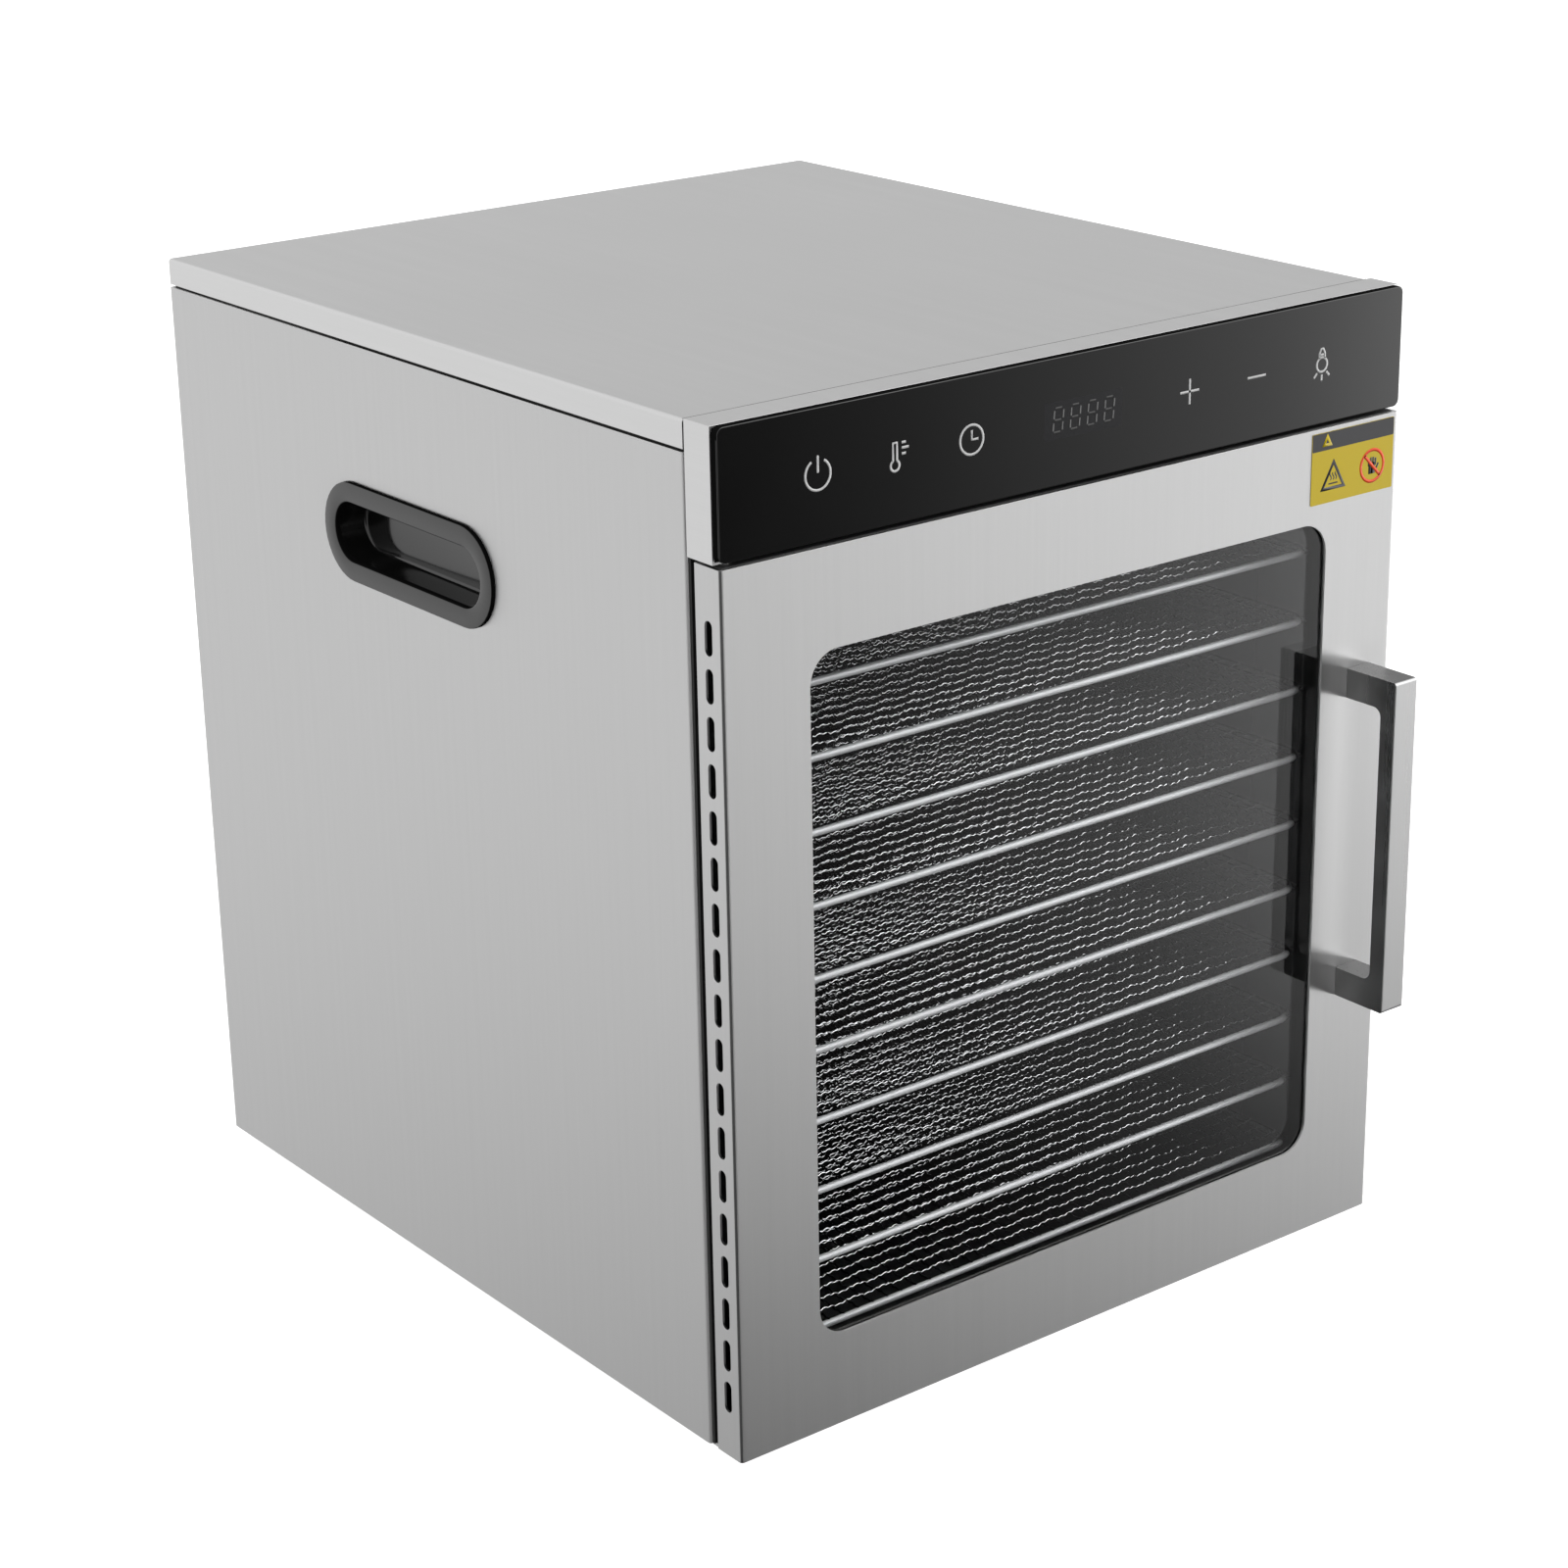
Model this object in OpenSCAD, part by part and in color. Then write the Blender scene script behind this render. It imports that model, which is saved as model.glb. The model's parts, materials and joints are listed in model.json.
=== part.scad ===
// Front-loading food dehydrator: a sheet steel cabinet with a glass door and ten wire trays.
// Frame: X to the right, the door faces -Y, Z up. The origin lies under the middle of the
// overall box, on the surface that the feet stand on. Millimetres.

/* [Cabinet] */
// Outside width over the side panels
cab_w = 345; // [343:1:350]
// Depth of the cabinet body, without the door and the rear cover
cab_d = 372; // [370:1:380]
// Height of the cabinet body, without the feet
cab_h = 410.5; // [408:0.5:414]
// Thickness of the outer sheet steel
sheet_t = 1; // [0.8:0.1:1.1]
// Outside radius of the long bends in the outer sheets
bend_r = 1.5; // [1.2:0.1:2.5]
// Height of the rubber feet
foot_h = 5; // [5:0.5:8]
// Width of the dark joint under the top cover's flange
joint_gap = 1.2; // [0.8:0.2:1.6]
// Height of the top cover's flange
cover_flange_h = 11; // [10:0.5:12]
// Depth of the cover over the fan motor, behind the cabinet
rear_cover_d = 30.4; // [30:0.2:34]

/* [Door] */
// Depth of the door pan
door_t = 15.1; // [15:0.1:16]
// Gap between the cabinet's front edge and the door pan
door_gap = 5; // [5:0.1:5.5]
// Width of the window opening
window_w = 266; // [256:1:268]
// Height of the window opening
window_h = 280; // [270:1:282]
// Corner radius of the window opening
window_r = 13; // [10:1:15]
// Number of air slots in each side of the door
slot_count = 18; // [14:1:18]
// Distance between the air slots
slot_pitch = 18.02; // [17.5:0.02:18.1]
// Length of the bar handle
handle_len = 147; // [140:1:150]
// Width of the bar handle
handle_w = 12.5; // [12:0.5:13]
// How far the bar handle stands out from the door
handle_reach = 27.3; // [26:0.1:30]

/* [Controls] */
// Depth of the steel control housing above the door
housing_d = 15; // [14:0.5:16]
// Height of the control housing
housing_h = 50.4; // [50:0.1:51]
// Thickness of the control glass
panel_glass_t = 3.5; // [3:0.1:4]

/* [Trays] */
// Vertical distance between the trays
tray_pitch = 30; // [29.5:0.1:30.2]
// Overall width of a tray
tray_w = 302; // [300:0.5:303]
// Diameter of the frame rod round a tray
rod_d = 3; // [2.6:0.1:3.2]
// Distance between the bars of a tray's grid
grid_pitch = 29; // [24:1:40]
// Width of the bars of a tray's grid
grid_bar = 1.2; // [1:0.1:1.6]

/* [Carrying handles] */
// Length of the bezel
grip_len = 124; // [120:1:126]
// Height of the bezel
grip_h = 41.6; // [40:0.2:43]
// How far the bezel stands proud of the side panel
grip_proud = 2; // [1.5:0.1:2.5]

/* [Air system] */
// Radius of the fan wheel
fan_r = 58; // [50:1:60]
// Number of blades on the fan wheel
blade_count = 24; // [16:1:30]
// Centre radius of the ring heater
heater_r = 75; // [72:1:80]

/* [Hidden] */
$fn = 48;

hw = cab_w / 2;
base_z = foot_h;
top_z = base_z + cab_h;
front_reach = door_gap + door_t + handle_reach;
// The cabinet's front edge and its back
front_y = front_reach - (front_reach + cab_d + rear_cover_d) / 2;
back_y = front_y + cab_d;
seam_z = top_z - cover_flange_h;

// Face plate round the cavity mouth
face_t = 1.5;
face_x = hw - 1.1;

// Cavity
liner_t = 1;
cav_x = 156;
cav_floor_z = base_z + 12;
cav_ceil_z = base_z + 345;
cav_d = 338;
rack_plate_t = 1;
weld_gap = 0.05;
ledge_in_x = 145.5;
ledge_t = 1.2;

// Control housing and glass
housing_x = hw + 0.5;
housing_top_z = top_z + 0.5;
housing_z = housing_top_z - housing_h;
housing_back_y = front_y - face_t;
housing_front_y = housing_back_y - housing_d;
board_y = housing_front_y + 4.5;
board_t = 1.6;

// Door
door_back_y = front_y - door_gap;
door_front_y = door_back_y - door_t;
door_z0 = base_z + 0.4;
door_z1 = housing_z - 1.3;
lip_w = 12;
window_z0 = base_z + 40.3;
window_z1 = window_z0 + window_h;
slot_w = 4.5;
slot_len = 13.2;
slot_top_z = base_z + 332.7;
slot_y = front_y - 12.4;
door_skin_y = door_front_y + sheet_t;
gasket_t = 0.5;
door_glass_t = 4;
glass_x = 145;
glass_z0 = window_z0 - 12;
glass_z1 = window_z1 + 12;
glass_back_y = door_skin_y + gasket_t + door_glass_t;
retainer_t = 1;
retainer_x = 155;
retainer_edge = 22;
retainer_y = glass_back_y + retainer_t;
seal_w = 5.5;
seal_gap = 0.3;
hinge_x = -hw + 7;
hinge_y = front_y - 13;
pin_r = 2.5;
running_gap = 0.05;
bush_r = 4;
bush_len = 10;
bracket_t = 1.5;
handle_x = hw - 24.2;
handle_z0 = base_z + 107.5;
handle_bar_t = 8;
handle_post_h = 13;
label_x0 = hw - 49.5;
label_z0 = base_z + 328;
handle_screw_z = [handle_z0 + handle_post_h / 2, handle_z0 + handle_len - handle_post_h / 2];

// Trays
tray_front_y = front_y + 5;
tray_len = 322;
tray_x = (tray_w - rod_d) / 2;
tray_corner_r = 8;
tray_top_z = base_z + 299;
tray_rest_gap = 0.3;
grid_inset = 0.7;

// Carrying handles
grip_y = front_y + 187.5;
grip_z = base_z + 320;
cup_depth = 14;
cup_wall = 1.6;

// Fan, motor and heater
fan_z = base_z + 170;
fan_y0 = front_y + 346;
fan_w = 17;
shaft_r = 3;
motor_y = back_y + 4;
heater_y = front_y + 355;
heater_tube_r = 3.5;
heater_leg_x = 12;
heater_leg_z = fan_z + sqrt(heater_r * heater_r - heater_leg_x * heater_leg_x);
heater_leg_r = 3;
rear_cover_x = 100;
rear_cover_t = 1.2;
rear_flange = 10;

// Electrical parts in the space above the cavity
deck_z = cav_ceil_z + liner_t;
pcb_x0 = -20;
pcb_x1 = 130;
pcb_y0 = front_y + 236;
pcb_y1 = front_y + 328;
post_h = 8;
inlet_x = 115;
inlet_z = base_z + 380;
ribbon_x = 45;
lamp_y = front_y + 60;
probe_x = -100;
probe_y = front_y + 300;

// Fasteners
screw_r = 1.9;
screw_hole_r = 2;
head_r = 3.5;
head_h = 2;
rear_screw_x = hw - 8;
rear_screw_z = [30, 150, 270, 385];
foot_x = 135;
foot_y = [front_y + 38, back_y - 35];
foot_r = 9;

// ---- Shared shapes ----

// Rectangle from two opposite corners
module rect(x0, y0, x1, y1) {
    translate([x0, y0]) square([x1 - x0, y1 - y0]);
}

// Box from two opposite corners
module block(x0, y0, z0, x1, y1, z1) {
    translate([x0, y0, z0]) cube([x1 - x0, y1 - y0, z1 - z0]);
}

// Rectangle with true round corners
module round_rect(x0, y0, x1, y1, r) {
    rect(x0 + r, y0, x1 - r, y1);
    rect(x0, y0 + r, x1, y1 - r);
    for (x = [x0 + r, x1 - r], y = [y0 + r, y1 - r])
        translate([x, y]) circle(r);
}

// Slot or stadium along X, centred
module stadium(len, wide) {
    square([len - wide, wide], center = true);
    for (s = [-1, 1]) translate([s * (len - wide) / 2, 0]) circle(d = wide);
}

// A plate in the XZ plane, from y0 to y1, with its 2D shape drawn as (x, z)
module upright(y0, y1) {
    translate([0, y1, 0]) rotate([90, 0, 0]) linear_extrude(y1 - y0) children();
}

// A plate in the YZ plane, from x0 to x1, with its 2D shape drawn as (y, z)
module side_on(x0, x1) {
    translate([x0, 0, 0]) rotate([90, 0, 90]) linear_extrude(x1 - x0) children();
}

// A rod along Y
module rod_y(x, z, y0, y1, r) {
    translate([x, y0, z]) rotate([-90, 0, 0]) cylinder(r = r, h = y1 - y0);
}

// A rod along X
module rod_x(y, z, x0, x1, r) {
    translate([x0, y, z]) rotate([0, 90, 0]) cylinder(r = r, h = x1 - x0);
}

// Puts its children on both sides of the middle plane
module both_sides() {
    children();
    mirror([1, 0, 0]) children();
}

// ---- Outer cabinet ----

module top_cover() color("silver") {
    difference() {
        upright(front_y, back_y) difference() {
            union() {
                round_rect(-hw, top_z - 3 * bend_r, hw, top_z, bend_r);
                rect(-hw, seam_z, hw, top_z - bend_r);
            }
            round_rect(-hw + sheet_t, top_z - 3 * bend_r, hw - sheet_t, top_z - sheet_t,
                       bend_r - sheet_t);
            rect(-hw + sheet_t, seam_z - 1, hw - sheet_t, top_z - bend_r);
        }
        for (s = [-1, 1]) rod_y(s * 120, seam_z + 5, back_y - 3, back_y + 1, screw_hole_r);
    }
    difference() {
        block(-hw + sheet_t, back_y - sheet_t, seam_z, hw - sheet_t, back_y, top_z - sheet_t);
        for (s = [-1, 1]) rod_y(s * 120, seam_z + 5, back_y - 3, back_y + 1, screw_hole_r);
    }
}

// Angle frame behind the dark joint, which the cover and the side panels hang on
module top_frame() color("dimgray") {
    corner_room = 0.2 + 0.3 * (bend_r - sheet_t);
    x1 = hw - sheet_t - corner_room;
    y0 = front_y + sheet_t + 0.2;
    y1 = back_y - 2 * sheet_t - 0.2;
    z0 = seam_z - 8;
    difference() {
        block(-x1, y0, z0, x1, y1, top_z - sheet_t - corner_room);
        block(-x1 + 1.5, y0 + 1.5, z0 + 1.5, x1 - 1.5, y1 - 1.5, top_z);
        block(-x1 + 10, y0 + 10, z0 - 1, x1 - 10, y1 - 10, top_z);
        for (s = [-1, 1]) rod_y(s * 120, seam_z + 5, y1 - 3, y1 + 1, screw_hole_r);
    }
}

// Side sheet with its front and rear return flanges, for the left side
module side_panel() {
    difference() {
        translate([0, 0, base_z]) linear_extrude(seam_z - joint_gap - base_z) difference() {
            union() {
                round_rect(-hw, front_y, -hw + 4 * bend_r, front_y + 4 * bend_r, bend_r);
                rect(-hw, front_y + bend_r, -hw + sheet_t, back_y);
                rect(-hw + bend_r, front_y, -cav_x - liner_t, front_y + sheet_t);
                rect(-hw, back_y - 2 * sheet_t, -cav_x - liner_t, back_y - sheet_t);
            }
            round_rect(-hw + sheet_t, front_y + sheet_t, -hw + 6 * bend_r, front_y + 6 * bend_r,
                       bend_r - sheet_t);
        }
        side_on(-hw - 1, -hw + sheet_t + 1)
            translate([grip_y, grip_z]) stadium(grip_len - 12, grip_h - 9);
        for (z = rear_screw_z) rod_y(-rear_screw_x, z, back_y - 3, back_y, screw_hole_r);
    }
}

module left_side_panel() color("silver") side_panel();

module right_side_panel() color("silver") mirror([1, 0, 0]) side_panel();

module rear_panel() color("silver") {
    difference() {
        block(-hw + sheet_t + 0.1, back_y - sheet_t, base_z + sheet_t,
              hw - sheet_t - 0.1, back_y, seam_z - joint_gap);
        rod_y(0, fan_z, back_y - 3, back_y + 1, shaft_r + 2);
        for (s = [-1, 1])
            rod_y(s * heater_leg_x, heater_leg_z, back_y - 3, back_y + 1, heater_leg_r + 0.3);
        for (s = [-1, 1], z = rear_screw_z)
            rod_y(s * rear_screw_x, z, back_y - 3, back_y + 1, screw_hole_r);
        for (sx = [-1, 1], sz = [-1, 1])
            rod_y(sx * (rear_cover_x + 5), fan_z + sz * (rear_cover_x + 5),
                  back_y - 3, back_y + 1, screw_hole_r);
        block(inlet_x - 13.6, back_y - 3, inlet_z - 10.1, inlet_x + 13.6, back_y + 1, inlet_z + 10.1);
    }
}

// Louvred cover over the motor
module rear_cover() color("dimgray") {
    x = rear_cover_x;
    y1 = back_y + rear_cover_d;
    difference() {
        union() {
            upright(back_y, y1) round_rect(-x, fan_z - x, x, fan_z + x, 8);
            upright(back_y, back_y + rear_cover_t)
                round_rect(-x - rear_flange, fan_z - x - rear_flange,
                           x + rear_flange, fan_z + x + rear_flange, 8);
        }
        upright(back_y - 1, y1 - rear_cover_t)
            round_rect(-x + rear_cover_t, fan_z - x + rear_cover_t,
                       x - rear_cover_t, fan_z + x - rear_cover_t, 8 - rear_cover_t);
        upright(y1 - 3, y1 + 1) for (i = [-6:6], s = [-1, 1])
            translate([s * 42, fan_z + i * 12]) stadium(64, 4);
        for (sx = [-1, 1], sz = [-1, 1])
            rod_y(sx * (x + 5), fan_z + sz * (x + 5), back_y - 1, back_y + 3, screw_hole_r);
    }
}

// Bottom sheet with upturned edges and a threaded boss over each foot
module base_pan() color("darkgray") {
    x = hw - sheet_t - 0.1;
    y1 = back_y - 2 * sheet_t;
    difference() {
        union() {
            difference() {
                block(-x, front_y + sheet_t, base_z, x, y1, base_z + 9);
                block(-x + sheet_t, front_y + 2 * sheet_t, base_z + sheet_t,
                      x - sheet_t, y1 - sheet_t, base_z + 10);
            }
            for (s = [-1, 1], y = foot_y) translate([s * foot_x, y, base_z]) cylinder(r = 4, h = 5);
        }
        for (s = [-1, 1], y = foot_y)
            translate([s * foot_x, y, base_z - 1]) cylinder(r = screw_r, h = 10);
        for (y = [front_y + 12, front_y + 26])
            translate([hinge_x + 0.5, y, base_z - 1]) cylinder(r = screw_hole_r, h = 3);
    }
}

module feet() color("black")
    for (s = [-1, 1], y = foot_y) translate([s * foot_x, y, 0]) difference() {
        union() {
            cylinder(r = foot_r - 1, h = 1);
            translate([0, 0, 1]) cylinder(r = foot_r, h = foot_h - 1);
        }
        translate([0, 0, -1]) cylinder(r = screw_hole_r, h = foot_h + 2);
        translate([0, 0, -1]) cylinder(r = head_r + 0.5, h = 1 + head_h + 0.5);
    }

// A pan head screw along +Y, with its head's underside at y
module screw_y(x, z, y, len) {
    rod_y(x, z, y, y + head_h, head_r);
    rod_y(x, z, y - len, y, screw_r);
}

module case_screws() color("gainsboro") {
    for (s = [-1, 1], y = foot_y) translate([s * foot_x, y, 0]) {
        translate([0, 0, 0.5]) cylinder(r = head_r, h = head_h);
        translate([0, 0, 0.5 + head_h]) cylinder(r = screw_r, h = foot_h + 1.5);
    }
    for (s = [-1, 1], z = rear_screw_z) screw_y(s * rear_screw_x, z, back_y, 5);
    for (s = [-1, 1]) screw_y(s * 120, seam_z + 5, back_y, 5);
    for (sx = [-1, 1], sz = [-1, 1])
        screw_y(sx * (rear_cover_x + 5), fan_z + sz * (rear_cover_x + 5),
                back_y + rear_cover_t, 5);
    for (y = [front_y + 12, front_y + 26]) translate([hinge_x + 0.5, y, base_z - bracket_t]) {
        translate([0, 0, -1.2]) cylinder(r = head_r, h = 1.2);
        cylinder(r = screw_r, h = 5);
    }
}

// Face plate that carries the door seal's landing and the control housing
module front_frame() color("gray") {
    upright(front_y - face_t, front_y) difference() {
        rect(-face_x, base_z + 0.5, face_x, top_z - 1.5);
        rect(-cav_x, cav_floor_z, cav_x, cav_ceil_z);
        rect(ribbon_x - 16, housing_z + 15, ribbon_x + 16, housing_z + 30);
    }
}

// ---- Cavity ----

module cavity_left_wall() color("lightgray")
    block(-cav_x - liner_t, front_y, cav_floor_z - liner_t, -cav_x, front_y + cav_d, deck_z);

module cavity_right_wall() color("lightgray") mirror([1, 0, 0])
    block(-cav_x - liner_t, front_y, cav_floor_z - liner_t, -cav_x, front_y + cav_d, deck_z);

module cavity_ceiling() color("lightgray") difference() {
    block(-cav_x, front_y, cav_ceil_z, cav_x, front_y + cav_d, deck_z);
    translate([0, lamp_y, cav_ceil_z - 1]) cylinder(r = 18.2, h = liner_t + 2);
    translate([probe_x, probe_y, cav_ceil_z - 1]) cylinder(r = 2.6, h = liner_t + 2);
}

// Spacers that hold the power board off the deck
module board_posts() color("gainsboro")
    for (x = [pcb_x0 + 6, pcb_x1 - 6], y = [pcb_y0 + 6, pcb_y1 - 6])
        translate([x, y, deck_z]) cylinder(r = 3, h = post_h);

module cavity_floor() color("lightgray")
    block(-cav_x, front_y, cav_floor_z - liner_t, cav_x, front_y + cav_d, cav_floor_z);

// Perforated wall in front of the fan: an intake in the middle, outlets down both sides
module rear_baffle() color("lightgray")
    upright(front_y + cav_d, front_y + cav_d + liner_t) difference() {
        rect(-cav_x - liner_t, cav_floor_z - liner_t, cav_x + liner_t, deck_z);
        translate([0, fan_z]) for (ring = [1:4], i = [0:ring * 6 - 1])
            rotate(i * 60 / ring) translate([ring * 10, 0]) circle(r = 3.2);
        for (s = [-1, 1], i = [0:9])
            translate([s * 120, tray_top_z - 12 - i * tray_pitch]) stadium(44, 8);
    }

// Rack for the left wall: two uprights and one runner for each tray, spot-welded to them
module tray_rack() {
    x0 = -cav_x;
    runner_x = x0 + rack_plate_t + weld_gap;
    for (y = [front_y + 40, front_y + 280])
        block(x0, y, cav_floor_z + 4, x0 + rack_plate_t, y + 14, tray_top_z + 20);
    for (i = [0:9])
        block(runner_x, front_y + 10, tray_top_z - i * tray_pitch - rod_d / 2 - tray_rest_gap - ledge_t,
              -ledge_in_x, front_y + 326, tray_top_z - i * tray_pitch - rod_d / 2 - tray_rest_gap);
}

module tray_rack_left() color("lightgray") tray_rack();

module tray_rack_right() color("lightgray") mirror([1, 0, 0]) tray_rack();

// ---- Trays ----

// A rod frame with round corners and a flat grid on top of it; tray 1 is the top one
module tray(i) color("white") {
    z = tray_top_z - (i - 1) * tray_pitch;
    r = rod_d / 2;
    c = tray_corner_r;
    y0 = tray_front_y;
    y1 = tray_front_y + tray_len;
    x = tray_x;
    for (y = [y0, y1]) rod_x(y, z, -x + c, x - c, r);
    for (s = [-1, 1]) rod_y(s * x, z, y0 + c, y1 - c, r);
    corners = [[x - c, y1 - c, 0], [-x + c, y1 - c, 90], [-x + c, y0 + c, 180], [x - c, y0 + c, 270]];
    for (k = corners) translate([k[0], k[1], z]) rotate(k[2])
        rotate_extrude(angle = 90) translate([c, 0]) circle(r);
    nx = floor((2 * x - 6) / grid_pitch);
    ny = floor((tray_len - 6) / grid_pitch);
    hole = grid_pitch - grid_bar;
    translate([0, 0, z + 0.6]) linear_extrude(1.4) difference() {
        round_rect(-x + grid_inset, y0 + grid_inset, x - grid_inset, y1 - grid_inset, c - grid_inset);
        for (i = [0:nx - 1], j = [0:ny - 1])
            translate([(i - (nx - 1) / 2) * grid_pitch, (y0 + y1) / 2 + (j - (ny - 1) / 2) * grid_pitch])
                square(hole, center = true);
    }
}

// ---- Air system ----

module fan_impeller() color("gainsboro") {
    difference() {
        union() {
            rod_y(0, fan_z, fan_y0 + fan_w - 1.2, fan_y0 + fan_w, fan_r);
            rod_y(0, fan_z, fan_y0 + 2, fan_y0 + fan_w, 9);
            for (i = [0:blade_count - 1]) translate([0, 0, fan_z]) rotate([0, i * 360 / blade_count, 0])
                translate([fan_r - 15, fan_y0, 0]) rotate([0, 25, 0]) cube([14, fan_w - 1, 1]);
        }
        rod_y(0, fan_z, fan_y0 - 1, fan_y0 + fan_w + 1, shaft_r);
    }
}

module fan_shaft() color("silver") rod_y(0, fan_z, fan_y0, back_y + 22, shaft_r);

// Shaded-pole motor on two posts, with the shaft's bearing bore
module fan_motor() color("darkslategray") difference() {
    union() {
        block(-30, motor_y, fan_z - 24, 30, motor_y + 20, fan_z + 18);
        block(-16, motor_y - 1, fan_z + 18, 16, motor_y + 21, fan_z + 34);
        rod_y(0, fan_z, motor_y - 3, motor_y, 9);
        for (s = [-1, 1]) rod_y(s * 22, fan_z, back_y, motor_y, 4);
    }
    rod_y(0, fan_z, motor_y - 4, back_y + 23, shaft_r + running_gap);
}

module heater_ring() color("slategray") {
    translate([0, heater_y, fan_z]) rotate([90, 0, 0])
        rotate_extrude() translate([heater_r, 0]) circle(heater_tube_r);
    for (s = [-1, 1]) rod_y(s * heater_leg_x, heater_leg_z, heater_y, back_y + 8, heater_leg_r);
}

// Clips that hold the heater ring off the rear panel
module heater_brackets() color("silver")
    for (a = [30, 150, 270]) translate([0, 0, fan_z]) rotate([0, a, 0]) difference() {
        block(heater_r - 7, heater_y - 4, -5, heater_r + 7, back_y - sheet_t, 5);
        block(heater_r - 3.8, heater_y - 5, -6, heater_r + 3.8, heater_y + heater_tube_r + 0.1, 6);
    }

// ---- Controls and electrical parts ----

module control_housing() color("silver") difference() {
    union() {
        difference() {
            block(-housing_x, housing_front_y, housing_z, housing_x, housing_back_y, housing_top_z);
            block(-housing_x + sheet_t, housing_front_y - 1, housing_z + sheet_t,
                  housing_x - sheet_t, housing_back_y - sheet_t, housing_top_z - sheet_t);
        }
        for (x = [-140, 140], z = [housing_z + 10, housing_top_z - 10])
            rod_y(x, z, board_y + board_t, housing_back_y - sheet_t, 3);
    }
    block(ribbon_x - 16, housing_back_y - 3, housing_z + 15,
          ribbon_x + 16, housing_back_y + 1, housing_z + 30);
    translate([hinge_x, hinge_y, housing_z - 1]) cylinder(r = pin_r, h = 4);
}

module control_glass() color([0.03, 0.03, 0.03])
    upright(housing_front_y - panel_glass_t, housing_front_y)
        round_rect(-hw, housing_z + 0.9, hw, housing_top_z, 3);

module touch_board() color("darkgreen")
    block(-150, board_y, housing_z + 5, 150, board_y + board_t, housing_top_z - 5);

module display_module() color("dimgray")
    block(-23, housing_front_y + 0.1, housing_z + 16, 23, board_y, housing_z + 36);

// Power board on the cavity's deck, with its relay, transformer, capacitor and terminals
module power_board() color("green") {
    z = deck_z + post_h;
    block(pcb_x0, pcb_y0, z, pcb_x1, pcb_y1, z + board_t);
    block(pcb_x0 + 20, pcb_y0 + 25, z + board_t, pcb_x0 + 55, pcb_y0 + 55, z + 26);
    block(pcb_x0 + 68, pcb_y0 + 20, z + board_t, pcb_x0 + 88, pcb_y0 + 36, z + 17);
    block(pcb_x0 + 68, pcb_y0 + 42, z + board_t, pcb_x0 + 88, pcb_y0 + 58, z + 17);
    translate([pcb_x0 + 110, pcb_y0 + 30, z + board_t]) cylinder(r = 7, h = 20);
    block(inlet_x - 12, pcb_y1 - 14, z + board_t, inlet_x + 12, pcb_y1 - 3, z + 12);
    block(ribbon_x - 13, pcb_y0, z + board_t, ribbon_x + 13, pcb_y0 + 6, z + 8);
}

// Ribbon from the touch board to the power board, and the two leads from the inlet
module wiring() color("darkgray") {
    z_hi = housing_z + 22;
    z_lo = deck_z + 0.5;
    y_drop = front_y + 24;
    z_end = deck_z + post_h + 5;
    side_on(ribbon_x - 12, ribbon_x + 12) {
        rect(board_y + board_t, z_hi, y_drop, z_hi + 1);
        rect(y_drop - 1, z_lo, y_drop, z_hi);
        rect(y_drop - 1, z_lo, pcb_y0 - 10, z_lo + 1);
        rect(pcb_y0 - 11, z_lo, pcb_y0 - 10, z_end);
        rect(pcb_y0 - 11, z_end - 1, pcb_y0, z_end);
    }
    for (s = [-1, 1]) {
        x = inlet_x + s * 7;
        rod_y(x, inlet_z, pcb_y1 - 8, back_y - 23, 1.5);
        translate([x, pcb_y1 - 8, inlet_z]) sphere(1.5);
        translate([x, pcb_y1 - 8, deck_z + post_h + 12])
            cylinder(r = 1.5, h = inlet_z - deck_z - post_h - 12);
    }
}

// Appliance inlet for a detachable lead: flange, body and open socket
module mains_inlet() color("black") difference() {
    union() {
        upright(back_y, back_y + 3) round_rect(inlet_x - 25, inlet_z - 12, inlet_x + 25, inlet_z + 12, 5);
        block(inlet_x - 13.4, back_y - 23, inlet_z - 9.9, inlet_x + 13.4, back_y + 1, inlet_z + 9.9);
    }
    block(inlet_x - 11.8, back_y - 16, inlet_z - 8, inlet_x + 11.8, back_y + 4, inlet_z + 8);
}

module inlet_pins() color("silver")
    for (p = [[-7, -2], [0, 3], [7, -2]])
        block(inlet_x + p[0] - 1, back_y - 16, inlet_z + p[1] - 2,
              inlet_x + p[0] + 1, back_y - 2, inlet_z + p[1] + 2);

module cavity_lamp() color("ivory") translate([0, lamp_y, deck_z]) {
    cylinder(r = 22, h = 4);
    cylinder(r = 15, h = 14);
}

module lamp_lens() color("white") translate([0, lamp_y, 0]) {
    translate([0, 0, cav_ceil_z - 3]) cylinder(r = 22, h = 3);
    translate([0, 0, cav_ceil_z]) cylinder(r = 18, h = liner_t);
}

module temperature_probe() color("silver") translate([probe_x, probe_y, 0]) {
    translate([0, 0, cav_ceil_z - 18]) cylinder(r = 2.5, h = 24);
    translate([0, 0, deck_z]) cylinder(r = 5, h = 2);
}

module thermal_cutout() color("black") translate([-60, front_y + 250, deck_z]) {
    cylinder(r = 12, h = 1);
    cylinder(r = 8, h = 9);
}

// ---- Carrying handles ----

// Moulded finger cup with a raised stadium bezel, for the left side
module carry_handle() difference() {
    union() {
        side_on(-hw - grip_proud, -hw) translate([grip_y, grip_z]) stadium(grip_len, grip_h);
        side_on(-hw - 1, -hw + cup_depth)
            translate([grip_y, grip_z]) stadium(grip_len - 12.6, grip_h - 9.6);
    }
    side_on(-hw - grip_proud - 1, -hw + cup_depth - cup_wall)
        translate([grip_y, grip_z]) stadium(grip_len - 17, grip_h - 14);
}

module carry_handle_left() color([0.08, 0.08, 0.08]) carry_handle();

module carry_handle_right() color([0.08, 0.08, 0.08]) mirror([1, 0, 0]) carry_handle();

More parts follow.
